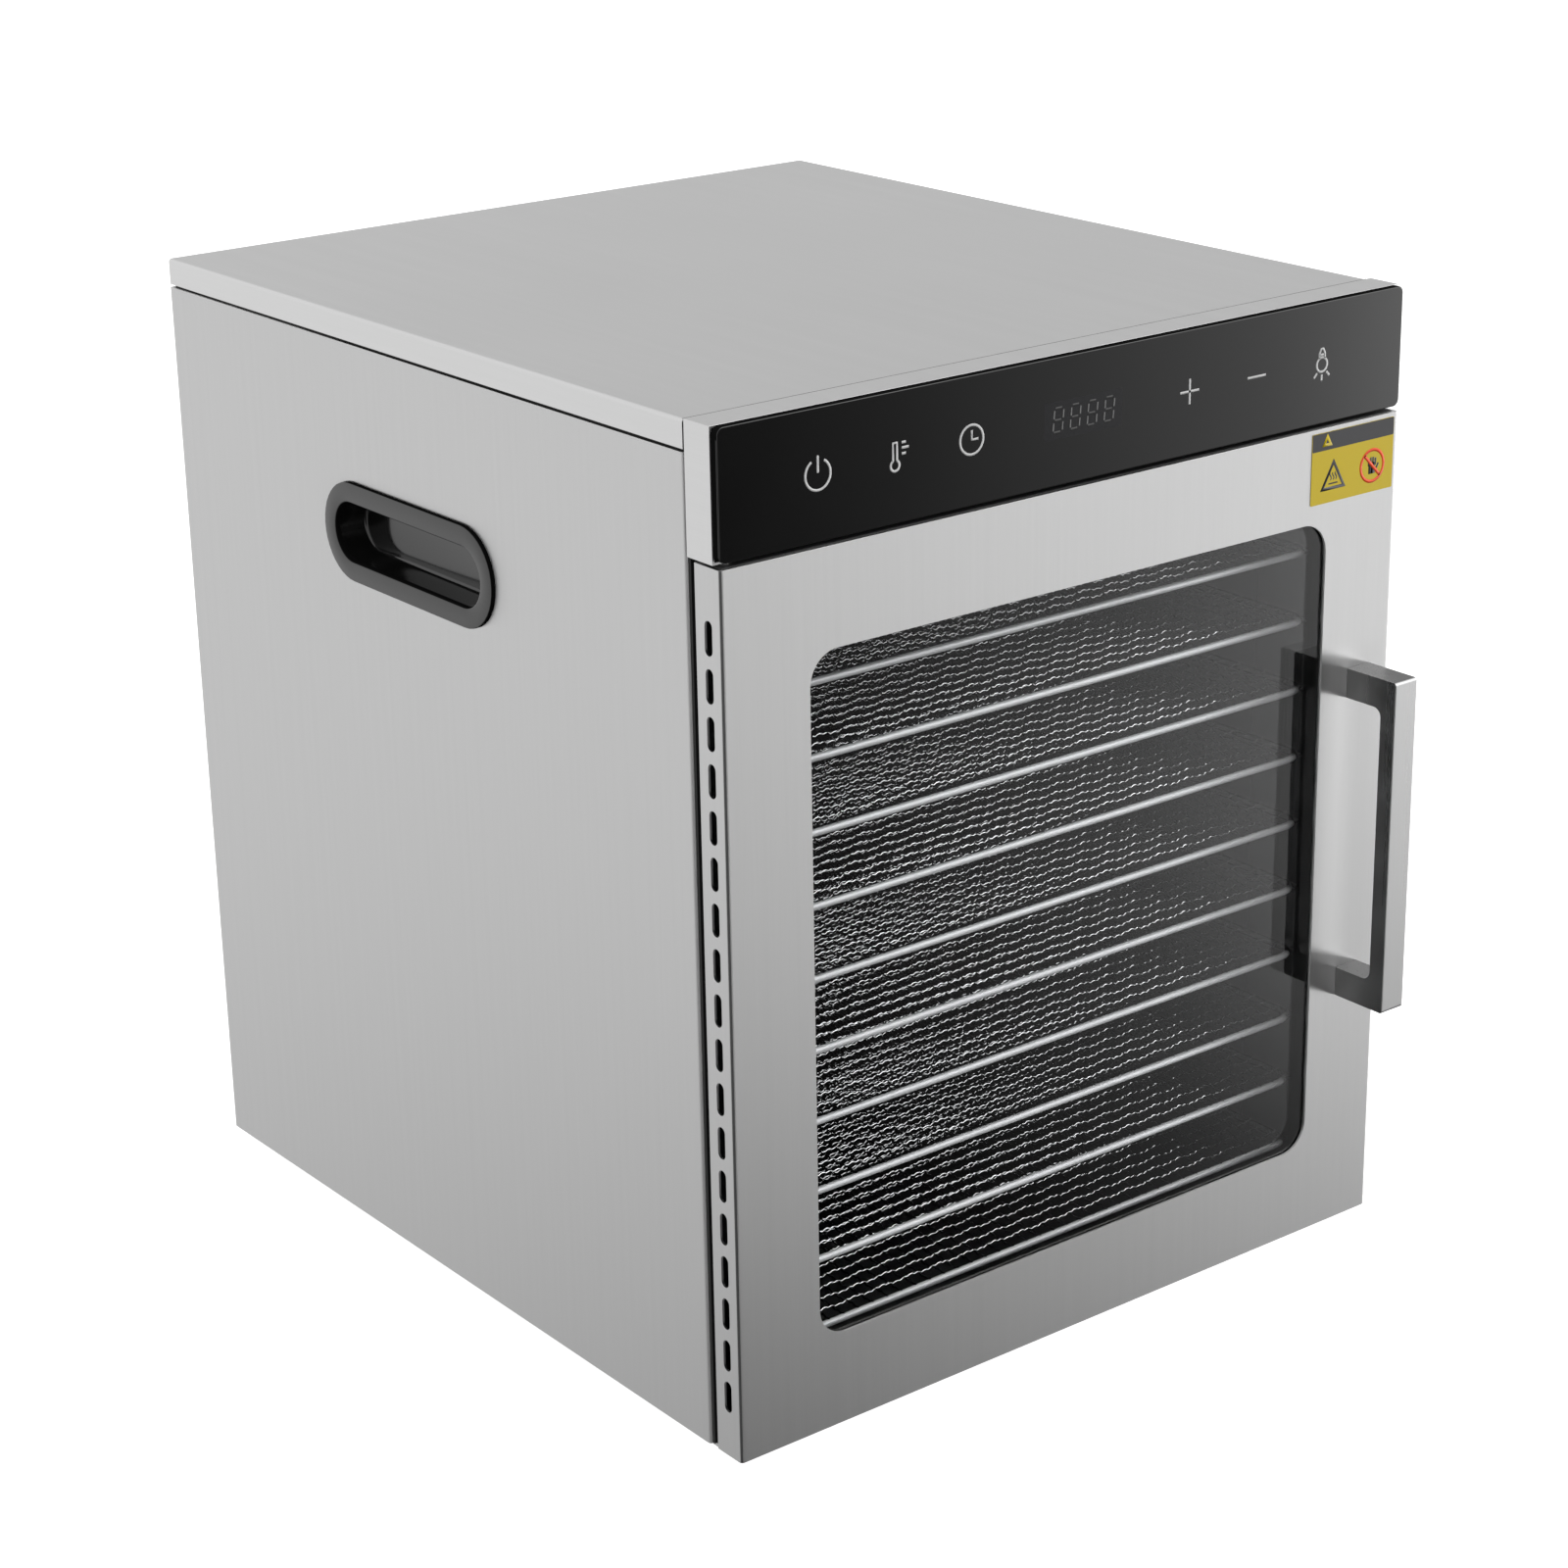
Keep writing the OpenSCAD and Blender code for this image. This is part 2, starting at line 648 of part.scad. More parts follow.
// ---- Hinge and catch on the cabinet ----

module hinge_bracket() color("silver") difference() {
    union() {
        block(hinge_x - 4.5, hinge_y, base_z - bracket_t, hinge_x + 4.5, front_y + 32, base_z);
        translate([hinge_x, hinge_y, base_z - bracket_t]) cylinder(r = 4.5, h = bracket_t);
    }
    translate([hinge_x, hinge_y, base_z - bracket_t - 1]) cylinder(r = pin_r, h = bracket_t + 2);
    for (y = [front_y + 12, front_y + 26])
        translate([hinge_x + 0.5, y, base_z - bracket_t - 1]) cylinder(r = screw_hole_r, h = 4);
}

module hinge_pins() color("gainsboro") {
    translate([hinge_x, hinge_y, base_z - bracket_t]) cylinder(r = pin_r, h = bracket_t + 9);
    translate([hinge_x, hinge_y, door_z1 - 8.5])
        cylinder(r = pin_r, h = housing_z + sheet_t - door_z1 + 8.5);
    translate([hinge_x, hinge_y, housing_z + sheet_t]) cylinder(r = pin_r + 0.8, h = 2);
}

module catch_magnets() color("dimgray")
    for (z = [base_z + 60, base_z + 275])
        block(hw - 6, door_back_y + 0.4, z, hw - 1.6, front_y - face_t, z + 26);

// ---- Door ----

module door_outline(inset) {
    round_rect(-hw + inset, door_front_y + inset, hw - inset, door_front_y + 6 * bend_r,
               bend_r - inset);
    rect(-hw + inset, door_front_y + 3 * bend_r, hw - inset, door_back_y + (inset > 0 ? 1 : 0));
}

// Folded pan with a window, air slots down both sides and bosses for the glass retainer
module door_panel() color("silver") difference() {
    union() {
        difference() {
            translate([0, 0, door_z0]) linear_extrude(door_z1 - door_z0) door_outline(0);
            translate([0, 0, door_z0 + sheet_t])
                linear_extrude(door_z1 - door_z0 - 2 * sheet_t) door_outline(sheet_t);
        }
        upright(door_back_y - sheet_t, door_back_y) difference() {
            rect(-hw + sheet_t, door_z0 + sheet_t, hw - sheet_t, door_z1 - sheet_t);
            rect(-hw + lip_w + sheet_t, door_z0 + lip_w + sheet_t,
                 hw - lip_w - sheet_t, door_z1 - lip_w - sheet_t);
        }
        retainer_points() rod_y(0, 0, door_skin_y, glass_back_y, 3);
    }
    upright(door_front_y - 1, door_skin_y + 1)
        round_rect(-window_w / 2, window_z0, window_w / 2, window_z1, window_r);
    for (i = [0:slot_count - 1]) side_on(-hw - 1, hw + 1)
        translate([slot_y, slot_top_z - i * slot_pitch]) rotate(90) stadium(slot_len, slot_w);
    for (z = handle_screw_z) rod_y(handle_x + handle_w / 2, z, door_front_y - 1, door_skin_y + 1,
                                   screw_hole_r);
    for (z = [door_z0 - 1, door_z1 - 2 * sheet_t])
        translate([hinge_x, hinge_y, z]) cylinder(r = bush_r, h = 2 * sheet_t + 1);
}

// Puts its children at the eight points that hold the glass retainer
module retainer_points() {
    z_mid = (window_z0 + window_z1) / 2;
    for (s = [-1, 1], z = [glass_z0 + 20, z_mid, glass_z1 - 20])
        translate([s * 150, 0, z]) children();
    for (z = [glass_z0 - 5, glass_z1 + 5]) translate([0, 0, z]) children();
}

module door_glass() color([0.2, 0.22, 0.24, 0.4])
    upright(door_skin_y + gasket_t, glass_back_y) rect(-glass_x, glass_z0, glass_x, glass_z1);

module glass_gasket() color("black")
    upright(door_skin_y, door_skin_y + gasket_t) difference() {
        rect(-glass_x, glass_z0, glass_x, glass_z1);
        round_rect(-window_w / 2 - 2, window_z0 - 2, window_w / 2 + 2, window_z1 + 2, window_r);
    }

module glass_retainer() color("gray") difference() {
    upright(glass_back_y, retainer_y) difference() {
        rect(-retainer_x, window_z0 - retainer_edge, retainer_x, window_z1 + retainer_edge);
        round_rect(-window_w / 2 - 5, window_z0 - 5, window_w / 2 + 5, window_z1 + 5, window_r);
    }
    retainer_points() rod_y(0, 0, glass_back_y - 1, retainer_y + 1, 1.6);
}

// Screws of the glass retainer and of the bar handle
module door_screws() color("gainsboro") {
    retainer_points() rod_y(0, 0, retainer_y, retainer_y + 1.4, 3);
    retainer_points() rod_y(0, 0, glass_back_y, retainer_y, 1.5);
    for (z = handle_screw_z) {
        rod_y(handle_x + handle_w / 2, z, door_skin_y, door_skin_y + head_h, head_r);
        rod_y(handle_x + handle_w / 2, z, door_front_y - 8, door_skin_y, screw_r);
    }
}

// C-shaped bar with two square posts
module door_handle() color("silver") difference() {
    y0 = door_front_y - handle_reach;
    side_on(handle_x, handle_x + handle_w) difference() {
        union() {
            round_rect(y0, handle_z0, y0 + 12, handle_z0 + handle_len, 1.5);
            rect(y0 + 5, handle_z0, door_front_y, handle_z0 + handle_len);
        }
        round_rect(y0 + handle_bar_t, handle_z0 + handle_post_h,
                   door_front_y + 10, handle_z0 + handle_len - handle_post_h, 4);
    }
    for (z = handle_screw_z)
        rod_y(handle_x + handle_w / 2, z, door_front_y - 9, door_front_y + 1, screw_r);
}

// Strip seal on the pan's inner lip
module door_seal() color("black") {
    x = hw - sheet_t - lip_w + seal_w;
    z0 = door_z0 + sheet_t + lip_w - seal_w;
    z1 = door_z1 - sheet_t - lip_w + seal_w;
    upright(door_back_y, front_y - face_t - seal_gap) difference() {
        rect(-x, z0, x, z1);
        rect(-x + seal_w, z0 + seal_w, x - seal_w, z1 - seal_w);
    }
}

module hinge_bushes() color("goldenrod")
    for (z = [door_z0, door_z1 - bush_len]) translate([hinge_x, hinge_y, z]) difference() {
        cylinder(r = bush_r, h = bush_len);
        translate([0, 0, -1]) cylinder(r = pin_r + running_gap, h = bush_len + 2);
    }

// Plain two-tone sticker in the door's upper right corner
module safety_label() color("goldenrod")
    block(label_x0, door_front_y - 0.2, label_z0, label_x0 + 47, door_front_y, label_z0 + 29.5);

top_cover();
top_frame();
left_side_panel();
right_side_panel();
rear_panel();
rear_cover();
base_pan();
feet();
case_screws();
front_frame();
cavity_left_wall();
cavity_right_wall();
cavity_ceiling();
cavity_floor();
rear_baffle();
board_posts();
tray_rack_left();
tray_rack_right();
fan_impeller();
fan_shaft();
fan_motor();
heater_ring();
heater_brackets();
control_housing();
control_glass();
touch_board();
display_module();
power_board();
wiring();
mains_inlet();
inlet_pins();
cavity_lamp();
lamp_lens();
temperature_probe();
thermal_cutout();
carry_handle_left();
carry_handle_right();
hinge_bracket();
hinge_pins();
catch_magnets();
door_panel();
door_glass();
glass_gasket();
glass_retainer();
door_screws();
door_handle();
door_seal();
hinge_bushes();
safety_label();
tray(1);  // tray_01
tray(2);  // tray_02
tray(3);  // tray_03
tray(4);  // tray_04
tray(5);  // tray_05
tray(6);  // tray_06
tray(7);  // tray_07
tray(8);  // tray_08
tray(9);  // tray_09
tray(10);  // tray_10
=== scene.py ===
# Cabinet food dehydrator: finishes, woven trays, printing and studio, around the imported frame.
import json
import math

import bmesh
import bpy
from mathutils import Matrix, Vector


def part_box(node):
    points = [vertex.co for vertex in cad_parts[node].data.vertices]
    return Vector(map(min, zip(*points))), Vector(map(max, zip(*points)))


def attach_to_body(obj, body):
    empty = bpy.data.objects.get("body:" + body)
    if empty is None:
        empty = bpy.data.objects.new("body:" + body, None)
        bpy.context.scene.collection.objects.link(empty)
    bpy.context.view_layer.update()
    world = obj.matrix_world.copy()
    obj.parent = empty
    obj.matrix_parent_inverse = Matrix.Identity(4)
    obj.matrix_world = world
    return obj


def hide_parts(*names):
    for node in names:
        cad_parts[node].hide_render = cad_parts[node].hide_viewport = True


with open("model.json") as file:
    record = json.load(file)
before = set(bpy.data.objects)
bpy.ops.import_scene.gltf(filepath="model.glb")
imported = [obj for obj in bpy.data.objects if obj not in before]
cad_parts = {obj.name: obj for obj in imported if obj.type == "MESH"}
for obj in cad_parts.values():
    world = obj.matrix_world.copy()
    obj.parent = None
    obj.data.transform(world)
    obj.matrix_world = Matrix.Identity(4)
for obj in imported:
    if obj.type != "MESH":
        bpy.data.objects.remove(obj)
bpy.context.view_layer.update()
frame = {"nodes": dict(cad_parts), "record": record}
cadNodes = frame["nodes"]
bodyOf = {n: b for b, members in frame["record"]["behaviour"]["bodies"].items() for n in members}
slotOf = {row["node"]: row["material_slot"] for row in frame["record"]["subparts"]}
mm = 0.001
print("frame loaded:", len(cadNodes), "nodes")


# camera
camera = {
    "azimuth": -37.4615,      # degrees, 0 looks along +Y
    "elevation": 20.1283,     # degrees above the horizon
    "roll": -1.0622,
    "distance": 1307.2,       # mm from the aim
    "aimAcross": -130.4,      # mm from the middle of the cabinet
    "aimUp": 269.3,           # mm above the table
    "lens": 80.87,
}


def towards(azimuth, elevation):
    # a direction by its azimuth from -Y towards +X and its height above the horizon
    a, e = math.radians(azimuth), math.radians(elevation)
    return Vector((math.sin(a) * math.cos(e), -math.cos(a) * math.cos(e), math.sin(e)))


def makeCamera():
    data = bpy.data.cameras.new("camera")
    data.sensor_width = 36
    data.lens = camera["lens"]
    data.clip_start = 0.05
    data.clip_end = 60
    eye = bpy.data.objects.new("camera", data)
    bpy.context.scene.collection.objects.link(eye)
    back = towards(camera["azimuth"], camera["elevation"])
    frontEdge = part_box("left_side_panel")[0].y
    aim = Vector((camera["aimAcross"] * mm, frontEdge, camera["aimUp"] * mm))
    turn = (-back).to_track_quat("-Z", "Y").to_matrix().to_4x4()
    turn = turn @ Matrix.Rotation(math.radians(camera["roll"]), 4, "Z")
    eye.matrix_world = Matrix.Translation(aim + back * camera["distance"] * mm) @ turn
    bpy.context.scene.camera = eye


makeCamera()
print("camera placed")


# node maths
class Wire:                                   # a node's output that takes part in sums
    def __init__(self, net, socket):
        self.net, self.socket = net, socket

    def __add__(self, other):
        return self.net.maths("ADD", self, other)

    def __radd__(self, other):
        return self.net.maths("ADD", other, self)

    def __sub__(self, other):
        return self.net.maths("SUBTRACT", self, other)

    def __rsub__(self, other):
        return self.net.maths("SUBTRACT", other, self)

    def __mul__(self, other):
        return self.net.maths("MULTIPLY", self, other)

    def __rmul__(self, other):
        return self.net.maths("MULTIPLY", other, self)

    def __truediv__(self, other):
        return self.net.maths("DIVIDE", self, other)

    def __rtruediv__(self, other):
        return self.net.maths("DIVIDE", other, self)

    def __pow__(self, other):
        return self.net.maths("POWER", self, other)

    def __rpow__(self, other):
        return self.net.maths("POWER", other, self)


def pick(sockets, key):                       # by number, identifier or name
    if isinstance(key, int):
        return sockets[key]
    for socket in sockets:
        if socket.identifier == key:
            return socket
    return sockets[key]


class Net:                                    # a node tree
    def __init__(self, tree):
        self.nodes, self.links = tree.nodes, tree.links
        self.nodes.clear()

    def add(self, kind, settings=None, values=None, out=0):
        node = self.nodes.new(kind)
        for key, value in (settings or {}).items():
            setattr(node, key, value)
        for key, value in (values or {}).items():
            if isinstance(value, Wire):
                self.links.new(value.socket, pick(node.inputs, key))
            else:
                pick(node.inputs, key).default_value = value
        return Wire(self, pick(node.outputs, out)) if node.outputs else None

    def maths(self, operation, *terms):
        return self.add("ShaderNodeMath", {"operation": operation}, dict(enumerate(terms)))


class Look(Net):                              # the nodes of one material or world
    def __init__(self, owner):
        self.owner = owner
        owner.use_nodes = True
        super().__init__(owner.node_tree)

    def clamp(self, value):
        return self.add("ShaderNodeClamp", None, {"Value": value})

    def range(self, value, low, high, toLow=0.0, toHigh=1.0):
        return self.add("ShaderNodeMapRange", {"interpolation_type": "SMOOTHSTEP"}, {
            "Value": value, "From Min": low, "From Max": high, "To Min": toLow, "To Max": toHigh})

    def place(self, stretch=(1, 1, 1)):       # the piece's own coordinates, in metres
        here = self.add("ShaderNodeTexCoord", out="Object")
        return self.add("ShaderNodeMapping", None, {"Vector": here, "Scale": stretch})

    def axes(self, vector):
        parts = self.add("ShaderNodeSeparateXYZ", None, {"Vector": vector})
        return [Wire(self, socket) for socket in parts.socket.node.outputs]

    def attribute(self, name):
        return self.add("ShaderNodeAttribute", {"attribute_name": name}, out="Fac")

    def noise(self, vector, scale, detail=2.0, rough=0.5):
        return self.add("ShaderNodeTexNoise", None, {
            "Vector": vector, "Scale": scale, "Detail": detail, "Roughness": rough})

    def blend(self, factor, first, second):
        return self.add("ShaderNodeMix", {"data_type": "RGBA"}, {
            "Factor_Float": factor, "A_Color": first, "B_Color": second}, "Result_Color")

    def bump(self, height, strength, distance):
        return self.add("ShaderNodeBump", None, {
            "Height": height, "Strength": strength, "Distance": distance})

    def surface(self, shader):
        self.add("ShaderNodeOutputMaterial", None, {"Surface": shader})
        return self.owner

    def principled(self, values):
        return self.surface(self.add("ShaderNodeBsdfPrincipled", None, values))


def newLook(name):
    return Look(bpy.data.materials.new(name))


def grey(value, tint=(1, 1, 1)):
    return (value * tint[0], value * tint[1], value * tint[2], 1)


# finishes
steel = {
    "tone": 0.51, "spread": 0.02,             # reflectance and how far the grain moves it
    "rough": 0.38, "anisotropic": 0.93,       # sheet
    "barRough": 0.28, "barAnisotropic": 0.3, "barShare": 0.64,
    "grain": 2400.0, "streak": 260.0,         # noise scales
    "stretch": 0.012,                         # share of the scale left along the brushing
    "bump": 0.05,
    "unbrushed": 0.035,                       # reflectance where shade is painted
}


def brushedSteel(name, along, rough, anisotropic, share=1.0, relief=1.0):
    look = newLook(name)
    squeeze = [1, 1, 1]
    squeeze["xyz".index(along)] = steel["stretch"]
    lines = look.place(squeeze)
    grain = look.noise(lines, steel["grain"], 2, 0.6)
    streak = look.noise(lines, steel["streak"], 3, 0.55)
    cloud = look.noise(look.place(), 7, 2)
    shade = look.clamp((grain - 0.5) * 0.6 + (streak - 0.5) * 1.1 + (cloud - 0.5) * 0.5 + 0.5)
    brushed = look.blend(shade, grey(share * (steel["tone"] - steel["spread"])),
                         grey(share * (steel["tone"] + steel["spread"])))
    unbrushed = look.attribute("unbrushed")
    return look.principled({
        # painted shade: faces marked by the attribute get a near-black base colour
        "Base Color": look.blend(unbrushed, brushed, grey(steel["unbrushed"])),
        "Metallic": 1.0,
        "Roughness": rough + (streak - 0.5) * 0.06 + (cloud - 0.5) * 0.03,
        "Anisotropic": anisotropic,
        "Normal": look.bump(grain, steel["bump"] * relief, 0.0001),
    })


def millSteel(name, tone, rough):             # bright rolled sheet inside the cabinet; the cavity's very low tone is painted shade
    look = newLook(name)
    rolled = look.noise(look.place((1, 0.03, 1)), 900, 2)
    cloud = look.noise(look.place(), 25, 3)
    shade = look.clamp((rolled - 0.5) * 0.7 + (cloud - 0.5) * 0.8 + 0.5)
    return look.principled({
        "Base Color": look.blend(shade, grey(tone * 0.9), grey(tone * 1.08)),
        "Metallic": 1.0,
        "Roughness": rough + (cloud - 0.5) * 0.1,
        "Normal": look.bump(rolled, 0.08, 0.0001),
    })


def drawnWire(name):                          # bright cross wires and satin front rod; the along wires and other rods get painted shade, told apart by attributes
    look = newLook(name)
    lines = look.noise(look.place(), 420, 2)
    rod = look.attribute("rod")
    dull = look.attribute("dull")
    bright = look.blend(rod, look.blend(lines, grey(0.8), grey(0.92)), grey(0.6))
    return look.principled({
        # painted shade: the along wires and the side and back rods get a near-black base colour
        "Base Color": look.blend(dull, bright, grey(0.05)),
        "Metallic": 1.0 - rod * 0.7,
        "Roughness": 0.1 + lines * 0.08 + rod * 0.25,
        "Normal": look.bump(lines, 0.1, 0.0001),
    })


def platedMetal(name, tone, tint, rough):     # zinc, brass and other small turned parts
    look = newLook(name)
    wear = look.noise(look.place(), 650, 3)
    return look.principled({
        "Base Color": look.blend(wear, grey(tone * 0.85, tint), grey(tone * 1.1, tint)),
        "Metallic": 1.0,
        "Roughness": rough + (wear - 0.5) * 0.16,
        "Normal": look.bump(wear, 0.06, 0.0001),
    })


def paintedSteel(name, tone):                 # fine-textured stoved paint
    look = newLook(name)
    peel = look.noise(look.place(), 1500, 3)
    cloud = look.noise(look.place(), 18, 2)
    return look.principled({
        "Base Color": look.blend(cloud, grey(tone * 0.85), grey(tone * 1.15)),
        "Roughness": 0.55 + (peel - 0.5) * 0.16,
        "IOR": 1.3,
        "Normal": look.bump(peel, 0.25, 0.0002),
    })


def mouldedPlastic(name, tone, tint, rough, texture):
    look = newLook(name)
    spark = look.noise(look.place(), 2200, 2)
    flow = look.noise(look.place(), 30, 2)
    return look.principled({
        "Base Color": look.blend(flow, grey(tone * 0.85, tint), grey(tone * 1.2, tint)),
        "Roughness": rough + (flow - 0.5) * 0.05 + (spark - 0.5) * 0.03,
        "IOR": 1.5,
        "Normal": look.bump(spark, texture, 0.00005),
    })


def gripPlastic(name, low, high):             # polished bezel and cup, dull round the bezel's outer edge
    look = newLook(name)
    flow = look.noise(look.place(), 30, 2)
    out = look.maths("ABSOLUTE", look.axes(look.place())[0])
    rim = look.range(out, low, low + 0.1 * mm) * look.range(out, high, high - 0.1 * mm)
    return look.principled({
        "Base Color": look.blend(flow, grey(0.003), grey(0.005)),
        "Roughness": 0.6 + (flow - 0.5) * 0.1,
        "Specular IOR Level": 0.0,
        "Coat Weight": 1.0 - rim,
        "Coat Roughness": 0.1,
        "Coat IOR": 1.46,
    })


def softRubber(name, tone):
    look = newLook(name)
    bloom = look.noise(look.place(), 160, 4)
    return look.principled({
        "Base Color": look.blend(bloom, grey(tone * 0.8), grey(tone * 1.4)),
        "Roughness": 0.62 + (bloom - 0.5) * 0.2,
        "Normal": look.bump(bloom, 0.2, 0.0002),
    })


def blackGlass(name, front, top):             # black print behind a polished front, with ground edges
    look = newLook(name)
    haze = look.noise(look.place(), 22, 3)
    deep, up = look.axes(look.place())[1:]
    arris = look.range(deep, front + 0.6 * mm, front + 0.5 * mm) * look.range(up, top - 4 * mm, top - 5 * mm)
    face = look.maths("MAXIMUM", look.range(deep, front + 0.1 * mm, front + 0.05 * mm), arris * 0.7)
    return look.principled({
        "Base Color": look.blend(haze, grey(0.0035), grey(0.0055)),
        "Roughness": 0.6 + (haze - 0.5) * 0.1,
        "Specular IOR Level": 0.0,
        "Coat Weight": face,
        "Coat Roughness": 0.035,
    })


def windowGlass(name, tint, mirror):
    look = newLook(name)
    facing = look.add("ShaderNodeLayerWeight", None, {"Blend": 0.5}, "Facing")
    smear = look.noise(look.place(), 14, 3)
    clear = look.add("ShaderNodeBsdfTransparent", None, {"Color": tint})
    gloss = look.add("ShaderNodeBsdfGlossy", None, {"Color": grey(1), "Roughness": 0.02 + smear * 0.02})
    share = mirror + (1 - mirror) * facing ** 5
    return look.surface(look.add("ShaderNodeMixShader", None, {0: share, 1: clear, 2: gloss}))


def heatTinted(name):                         # straw and blue bands where the tube runs hottest
    look = newLook(name)
    band = look.noise(look.place(), 28, 2)
    scale = look.noise(look.place(), 500, 4)
    return look.principled({
        "Base Color": look.blend(band, grey(0.3, (1, 0.82, 0.6)), grey(0.26, (0.8, 0.86, 1))),
        "Metallic": 0.9,
        "Roughness": 0.36 + scale * 0.16,
        "Normal": look.bump(scale, 0.2, 0.0001),
    })


def laminatedCore(name):                      # stacked sheets of the motor's core
    look = newLook(name)
    sheets = look.add("ShaderNodeTexWave", {"bands_direction": "Y"}, {
        "Vector": look.place(), "Scale": 320, "Distortion": 0.2}, "Fac")
    return look.principled({
        "Base Color": look.blend(sheets, grey(0.05), grey(0.16)),
        "Metallic": 0.8,
        "Roughness": 0.42 + sheets * 0.12,
        "Normal": look.bump(sheets, 0.5, 0.0002),
    })


def lacqueredBoard(name):                     # green lacquer over copper runs
    look = newLook(name)
    runs = look.add("ShaderNodeTexBrick", {"offset": 0.35}, {
        "Vector": look.place(), "Scale": 90, "Mortar Size": 0.03,
        "Color1": (0.012, 0.12, 0.05, 1), "Color2": (0.016, 0.15, 0.06, 1), "Mortar": (0.03, 0.24, 0.1, 1)})
    weave = look.noise(look.place(), 900, 2)
    return look.principled({
        "Base Color": runs, "Roughness": 0.24 + weave * 0.12, "Normal": look.bump(weave, 0.1, 0.0001)})


def ribbonLead(name):                         # side by side strands of the flat lead
    look = newLook(name)
    strands = look.add("ShaderNodeTexWave", {"bands_direction": "X"}, {
        "Vector": look.place(), "Scale": 400}, "Fac")
    return look.principled({
        "Base Color": look.blend(strands, grey(0.16), grey(0.4)),
        "Roughness": 0.4 + strands * 0.1,
        "Normal": look.bump(strands, 0.4, 0.0003),
    })


def frostedLens(name):
    look = newLook(name)
    frost = look.noise(look.place(), 1200, 3)
    return look.principled({
        "Base Color": look.blend(frost, grey(0.7, (1, 1, 0.95)), grey(0.85, (1, 1, 0.95))),
        "Roughness": 0.45 + frost * 0.1,
        "Normal": look.bump(frost, 0.2, 0.0001),
    })


def printInk(name, colour, rough=0.42):       # screen-printed ink with a faint mottle
    look = newLook(name)
    mottle = look.noise(look.place(), 1800, 2)
    dark = tuple(c * 0.9 for c in colour[:3]) + (1,)
    return look.principled({
        "Base Color": look.blend(mottle, dark, colour),
        "Roughness": rough + (mottle - 0.5) * 0.1,
        "IOR": 1.3,
        "Normal": look.bump(mottle, 0.05, 0.00005),
    })


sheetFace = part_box("right_side_panel")[1].x
paneLow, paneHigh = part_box("control_glass")
finish = {
    "stainless": brushedSteel("brushedSteelUpright", "z", steel["rough"], steel["anisotropic"]),
    "stainlessFlat": brushedSteel("brushedSteelFlat", "y", steel["rough"], 0.0),
    "stainlessBar": brushedSteel(
        "brushedSteelBar", "z", steel["barRough"], steel["barAnisotropic"], steel["barShare"], 0.0),
    # painted shade: the cavity's steel has a near-black tone that stands for the shade inside the closed
    # cabinet
    "stainless_inner": millSteel("millSteel", 0.055, 0.34),
    "retainerSteel": millSteel("retainerSteel", 0.42, 0.3),
    "frame_steel": paintedSteel("stovedPaint", 0.009),
    "wire": drawnWire("drawnWire"),
    "door_glass": windowGlass("windowGlass", (0.955, 0.96, 0.965, 1), 0.05),
    "panel_glass": blackGlass("blackGlass", paneLow.y, paneHigh.z),
    "black_plastic": mouldedPlastic("blackPlastic", 0.008, (1, 1, 1), 0.17, 0.02),
    "gripPlastic": gripPlastic("gripPlastic", sheetFace - 0.3 * mm, sheetFace + 1.9 * mm),
    "rubber": softRubber("footRubber", 0.02),
    "silicone": softRubber("sealSilicone", 0.012),
    "fasteners": platedMetal("zincPlate", 0.7, (1, 1, 0.98), 0.25),
    "brass": platedMetal("brass", 0.75, (1, 0.78, 0.4), 0.24),
    "bronze": platedMetal("sinteredBronze", 0.07, (1, 0.8, 0.6), 0.5),
    "motor": laminatedCore("motorCore"),
    "heater": heatTinted("heaterSheath"),
    "circuit_board": lacqueredBoard("boardLacquer"),
    "lead_insulation": ribbonLead("ribbonLead"),
    "lamp": frostedLens("frostedLens"),
    "sticker": printInk("labelYellow", (0.4, 0.3, 0.003, 1)),
    "labelDark": printInk("labelDark", (0.025, 0.025, 0.027, 1)),
    "labelRed": printInk("labelRed", (0.58, 0.06, 0.012, 1)),
    "panelPrint": printInk("panelPrint", (0.4, 0.4, 0.4, 1)),
    "displayFilm": printInk("displayFilm", (0.01, 0.01, 0.011, 1), 0.2),
    "digits": printInk("displayDigits", (0.024, 0.024, 0.024, 1), 0.3),
}
ownFinish = {"hinge_bushes": "bronze", "glass_retainer": "retainerSteel"}    # instead of their slot's
for nodeName, node in cadNodes.items():
    node.data.materials.clear()
    node.data.materials.append(finish[ownFinish.get(nodeName, slotOf[nodeName])])
print("finishes made:", len(finish))


# mesh helpers
def newPiece(name, mesh, material):
    mesh.name = name
    mesh.materials.clear()
    mesh.materials.append(material)
    piece = bpy.data.objects.new(name, mesh)
    bpy.context.scene.collection.objects.link(piece)
    return piece


def attach(piece, body, *replaced, slotName=None):
    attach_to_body(piece, body)
    if replaced:
        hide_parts(*replaced)
    return piece


def applied(piece):                           # modifiers turned into a plain mesh
    graph = bpy.context.evaluated_depsgraph_get()
    mesh = bpy.data.meshes.new_from_object(piece.evaluated_get(graph))
    materials = list(piece.data.materials)
    piece.modifiers.clear()
    piece.data = mesh
    if not mesh.materials:
        for material in materials:
            mesh.materials.append(material)
    return piece


def smooth(mesh, angle):
    mesh.polygons.foreach_set("use_smooth", [True] * len(mesh.polygons))
    mesh.set_sharp_from_angle(angle=math.radians(angle))


def meshFrom(cage, name):
    mesh = bpy.data.meshes.new(name)
    cage.to_mesh(mesh)
    cage.free()
    return mesh


def mergedCage(nodeName):
    cage = bmesh.new()
    cage.from_mesh(cadNodes[nodeName].data)
    bmesh.ops.remove_doubles(cage, verts=cage.verts, dist=0.002 * mm)
    return cage


